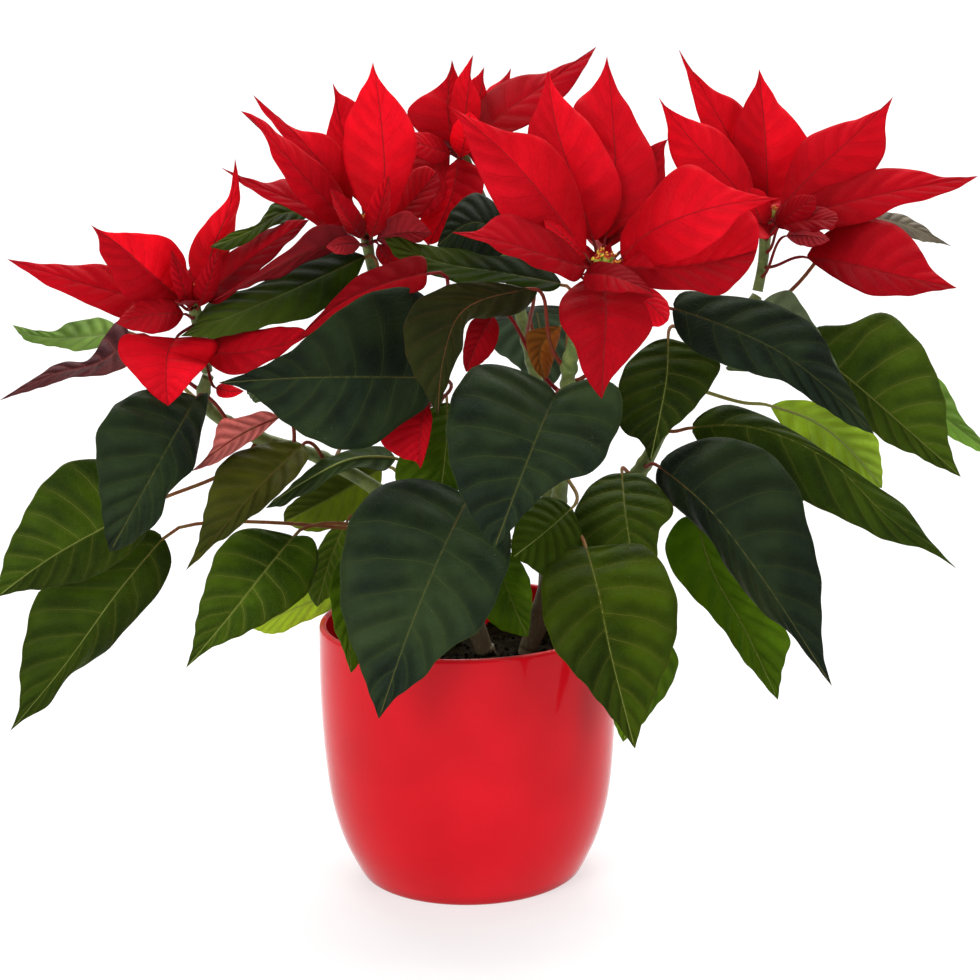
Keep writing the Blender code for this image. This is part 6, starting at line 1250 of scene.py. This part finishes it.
heights = np.linspace(0.016, POT_HEIGHT - 0.0026, 40)
inner = [(0.0, POT_FLOOR), (outer_radius(0.012) - POT_WALL - 0.005, POT_FLOOR), (outer_radius(0.0125) - POT_WALL - 0.0018, POT_FLOOR + 0.0022), (outer_radius(0.013) - POT_WALL, POT_FLOOR + 0.006)]
inner += [(outer_radius(h) - POT_WALL, h) for h in heights]
rim_r = POT_WALL / 2
rim = [(RIM_RADIUS - rim_r + rim_r * math.cos(a), POT_HEIGHT - rim_r + rim_r * math.sin(a)) for a in np.radians(np.linspace(180, 0, 15))]
outer = [(outer_radius(h), h) for h in reversed(heights)]
foot = [(outer_radius(h), h) for h in (0.012, 0.009, 0.0065, 0.0045)] + [(outer_radius(0.003) - 0.00015, 0.0030), (outer_radius(0.002) - 0.0004, 0.0018), (FOOT_RADIUS + 0.0012, 0.0009), (FOOT_RADIUS + 0.0004, 0.0003), (FOOT_RADIUS, 0.0), (FOOT_RADIUS - 0.004, 0.0), (0.0, 0.0)]
profile = inner + rim + outer + foot
bare_from = len(profile) - 3
pot = turned_mesh("cover_pot_glazed", profile, 144, [glaze_skin(), foot_skin()], lambda i: 1 if i >= bare_from else 0)
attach(pot, "root")
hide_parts("cover_pot")


# ------------------------------------------------------------------ soil
def soil_skin():
    g = Graph("potting_soil_crumbly")
    here = g.here()
    lump = g.noise(here, 160.0, 5.0, 0.7)
    grain = g.noise(here, 900.0, 3.0, 0.7)
    colour = g.mix(g.fade(lump, 0.3, 0.7), (0.0028, 0.0021, 0.0008), (0.0130, 0.0098, 0.0032))
    colour = g.mix(g.fade(g.cells(here, 260.0, "F1"), 0.05, 0.16, 0.5, 0.0), colour, (0.030, 0.022, 0.009))
    colour = g.mix(g.fade(grain, 0.60, 0.75, 0.0, 0.4), colour, (0.022, 0.017, 0.008))
    tall = g.math("ADD", lump, g.math("MULTIPLY", grain, 0.5))
    return g.finish(g.shader(colour, g.math("MULTIPLY_ADD", grain, 0.15, 0.82), g.bump(tall, 0.0012, 0.9), Specular_IOR_Level=0.03))


SOIL_SKIN = soil_skin()


def rough_height(x, y):
    """Unevenness of the soil's top, in metres."""
    out = np.zeros_like(x)
    rng = np.random.default_rng(77)
    for k, (size, tall) in enumerate([(0.030, 0.0009), (0.014, 0.0006), (0.007, 0.0004), (0.0038, 0.00028)]):
        for _ in range(4):
            ang, ph = rng.random() * 2 * math.pi, rng.random() * 2 * math.pi
            out += tall * 0.6 * np.sin(2 * math.pi * (x * math.cos(ang) + y * math.sin(ang)) / size + ph)
    return out


sides, rings = 96, 44
wall_in = outer_radius(SOIL_LEVEL - 0.0025) - POT_WALL - GAP
turn = np.arange(sides) * 2 * math.pi / sides
points, faces = [(0.0, 0.0, SOIL_LEVEL)], []
for i in range(1, rings + 1):
    rr = (wall_in - 0.0004) * i / rings
    for a in turn:
        x, y = rr * math.cos(a), rr * math.sin(a)
        points.append((x, y, SOIL_LEVEL - 0.0018 * (i / rings) ** 2))
points = np.array(points)
points[:, 2] += rough_height(points[:, 0], points[:, 1]) - 0.0004
faces += [(0, 1 + j, 1 + (j + 1) % sides) for j in range(sides)]
for i in range(rings - 1):
    for j in range(sides):
        a, b = 1 + i * sides + j, 1 + i * sides + (j + 1) % sides
        faces.append((a, a + sides, b + sides, b))
deep = [(outer_radius(h) - POT_WALL - GAP, h) for h in (0.096, 0.076, 0.052, 0.034, 0.020)] + [(outer_radius(0.013) - POT_WALL - GAP - 0.0006, POT_FLOOR + 0.0066), (outer_radius(0.012) - POT_WALL - 0.0056, POT_FLOOR + GAP)]
first = 1 + (rings - 1) * sides
extra = []
for r, z in deep:
    extra += [(r * math.cos(a), r * math.sin(a), z) for a in turn]
start = len(points)
points = np.vstack([points, extra, [(0.0, 0.0, POT_FLOOR + GAP)]])
prev = first
for i in range(len(deep)):
    now = start + i * sides
    faces += [(prev + j, now + j, now + (j + 1) % sides, prev + (j + 1) % sides) for j in range(sides)]
    prev = now
faces += [(prev + (j + 1) % sides, prev + j, len(points) - 1) for j in range(sides)]
# crumbs and flakes of bark lying on top
rng = np.random.default_rng(5)
cube = np.array([[x, y, z] for x in (-1, 1) for y in (-1, 1) for z in (-1, 1)], float)
cube_faces = [(0, 1, 3, 2), (4, 6, 7, 5), (0, 4, 5, 1), (2, 3, 7, 6), (0, 2, 6, 4), (1, 5, 7, 3)]
crumbs, crumb_faces = [], []
for _ in range(520):
    ang, rad = rng.random() * 2 * math.pi, (wall_in - 0.004) * rng.random() ** 0.5
    x, y = rad * math.cos(ang), rad * math.sin(ang)
    size = 0.0006 + 0.0013 * rng.random() ** 2.5
    z = SOIL_LEVEL - 0.0018 * (rad / wall_in) ** 2 - 0.0004 + float(rough_height(np.array([x]), np.array([y]))[0]) + size * 0.25
    m = np.linalg.qr(rng.normal(size=(3, 3)))[0]
    box = (cube * (1 + 0.35 * rng.normal(size=(8, 3)) * 0.5)) * np.array([1.0, 0.7, 0.45]) * size
    first = len(points) + sum(len(c) for c in crumbs)
    crumbs.append(box @ m.T + np.array([x, y, z]))
    crumb_faces += [tuple(first + i for i in f) for f in cube_faces]
points = np.vstack([points, *crumbs])
faces += crumb_faces
soil = mesh_piece("potting_soil_surface", points, faces, [0] * len(faces), [SOIL_SKIN], {}, sharp=40)
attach(soil, "root")
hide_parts("potting_soil")


# ------------------------------------------------------------------ floor, light and camera
def floor_skin():
    g = Graph("plain_white_floor")
    here = g.here()
    tint = g.math("MULTIPLY_ADD", g.noise(here, 3.0, 2.0), 0.02, 0.36)
    # a lit studio table: part of its white comes from below
    shader = g.shader(g.joined(tint, tint, tint), 0.7, None, Specular_IOR_Level=0.05)
    shader.node.inputs["Emission Color"].default_value = (1.0, 1.0, 1.0, 1.0)
    shader.node.inputs["Emission Strength"].default_value = 0.62
    return g.finish(shader)


mesh = bpy.data.meshes.new("floor")
mesh.from_pydata([(-6, -6, 0), (6, -6, 0), (6, 6, 0), (-6, 6, 0)], [], [(0, 1, 2, 3)])
mesh.materials.append(floor_skin())
floor = bpy.data.objects.new("floor", mesh)
bpy.context.scene.collection.objects.link(floor)
floor.location.z = -0.0002

world = bpy.data.worlds.new("studio")
bpy.context.scene.world = world
world.use_nodes = True
tree = world.node_tree
tree.nodes.clear()
coord = tree.nodes.new("ShaderNodeTexCoord")
parts = tree.nodes.new("ShaderNodeSeparateXYZ")
tree.links.new(coord.outputs["Generated"], parts.inputs[0])
front = tree.nodes.new("ShaderNodeMapRange")
front.interpolation_type = "SMOOTHSTEP"
for socket, x in zip(front.inputs, (None, -0.8, 0.3, 0.22, 0.55)):
    if x is not None:
        socket.default_value = x
tree.links.new(parts.outputs[1], front.inputs[0])
path_node = tree.nodes.new("ShaderNodeLightPath")
soft = tree.nodes.new("ShaderNodeBackground")
soft.inputs["Color"].default_value = (1.0, 1.0, 1.0, 1.0)
tree.links.new(front.outputs[0], soft.inputs["Strength"])
seen = tree.nodes.new("ShaderNodeBackground")
seen.inputs["Color"].default_value = (1.0, 1.0, 1.0, 1.0)
seen.inputs["Strength"].default_value = 1.05
both = tree.nodes.new("ShaderNodeMixShader")
tree.links.new(path_node.outputs["Is Camera Ray"], both.inputs[0])
tree.links.new(soft.outputs[0], both.inputs[1])
tree.links.new(seen.outputs[0], both.inputs[2])
out = tree.nodes.new("ShaderNodeOutputWorld")
tree.links.new(both.outputs[0], out.inputs["Surface"])


def softbox(name, at, aim, size, power):
    lamp = bpy.data.lights.new(name, "AREA")
    lamp.shape = "RECTANGLE"
    lamp.size, lamp.size_y = size
    lamp.energy = power
    obj = bpy.data.objects.new(name, lamp)
    obj.location = at
    obj.rotation_euler = (Vector(aim) - Vector(at)).to_track_quat("-Z", "Y").to_euler()
    bpy.context.scene.collection.objects.link(obj)
    return obj


def sunlight(name, towards, strength, wide):
    lamp = bpy.data.lights.new(name, "SUN")
    lamp.energy = strength
    lamp.angle = math.radians(wide)
    obj = bpy.data.objects.new(name, lamp)
    obj.rotation_euler = Vector(towards).to_track_quat("-Z", "Y").to_euler()
    bpy.context.scene.collection.objects.link(obj)
    return obj


# a wide soft light from above and behind, which shines through the leaves, and a soft key light in front
sunlight("soft_light_behind", (-0.12, -0.62, -1.0), 4.2, 65)
softbox("key_light_left", (-1.25, -2.0, 1.15), (0.0, 0.0, 0.16), (1.1, 1.5), 40.0)
softbox("fill_light_right", (1.5, -1.7, 0.8), (0.0, 0.0, 0.16), (1.0, 1.4), 15.0)

cam = bpy.data.cameras.new("camera")
cam.sensor_width = 36.0
cam.sensor_fit = "HORIZONTAL"
cam.lens = DRAW_FOCAL * 36.0 / (2 * DRAW_CENTRE)
cam.clip_start, cam.clip_end = 0.05, 50.0
camera = bpy.data.objects.new("camera", cam)
cp, sp = math.cos(EYE_PITCH), math.sin(EYE_PITCH)
right, up, ahead = np.array([1.0, 0, 0]), np.array([0, sp, cp]), np.array([0, cp, -sp])
c, s = math.cos(EYE_ROLL), math.sin(EYE_ROLL)
x_axis, y_axis = c * right - s * up, s * right + c * up
eye = np.array([AIM_X, -EYE_DISTANCE * cp, AIM_Z + EYE_DISTANCE * sp])
camera.matrix_world = Matrix([[x_axis[i], y_axis[i], -ahead[i], eye[i]] for i in range(3)] + [[0, 0, 0, 1]])
bpy.context.scene.collection.objects.link(camera)
bpy.context.scene.camera = camera

view = bpy.context.scene.view_settings
view.view_transform = "Standard"
view.look = "None"
view.exposure = 0.0
view.gamma = 1.0

bpy.context.view_layer.update()
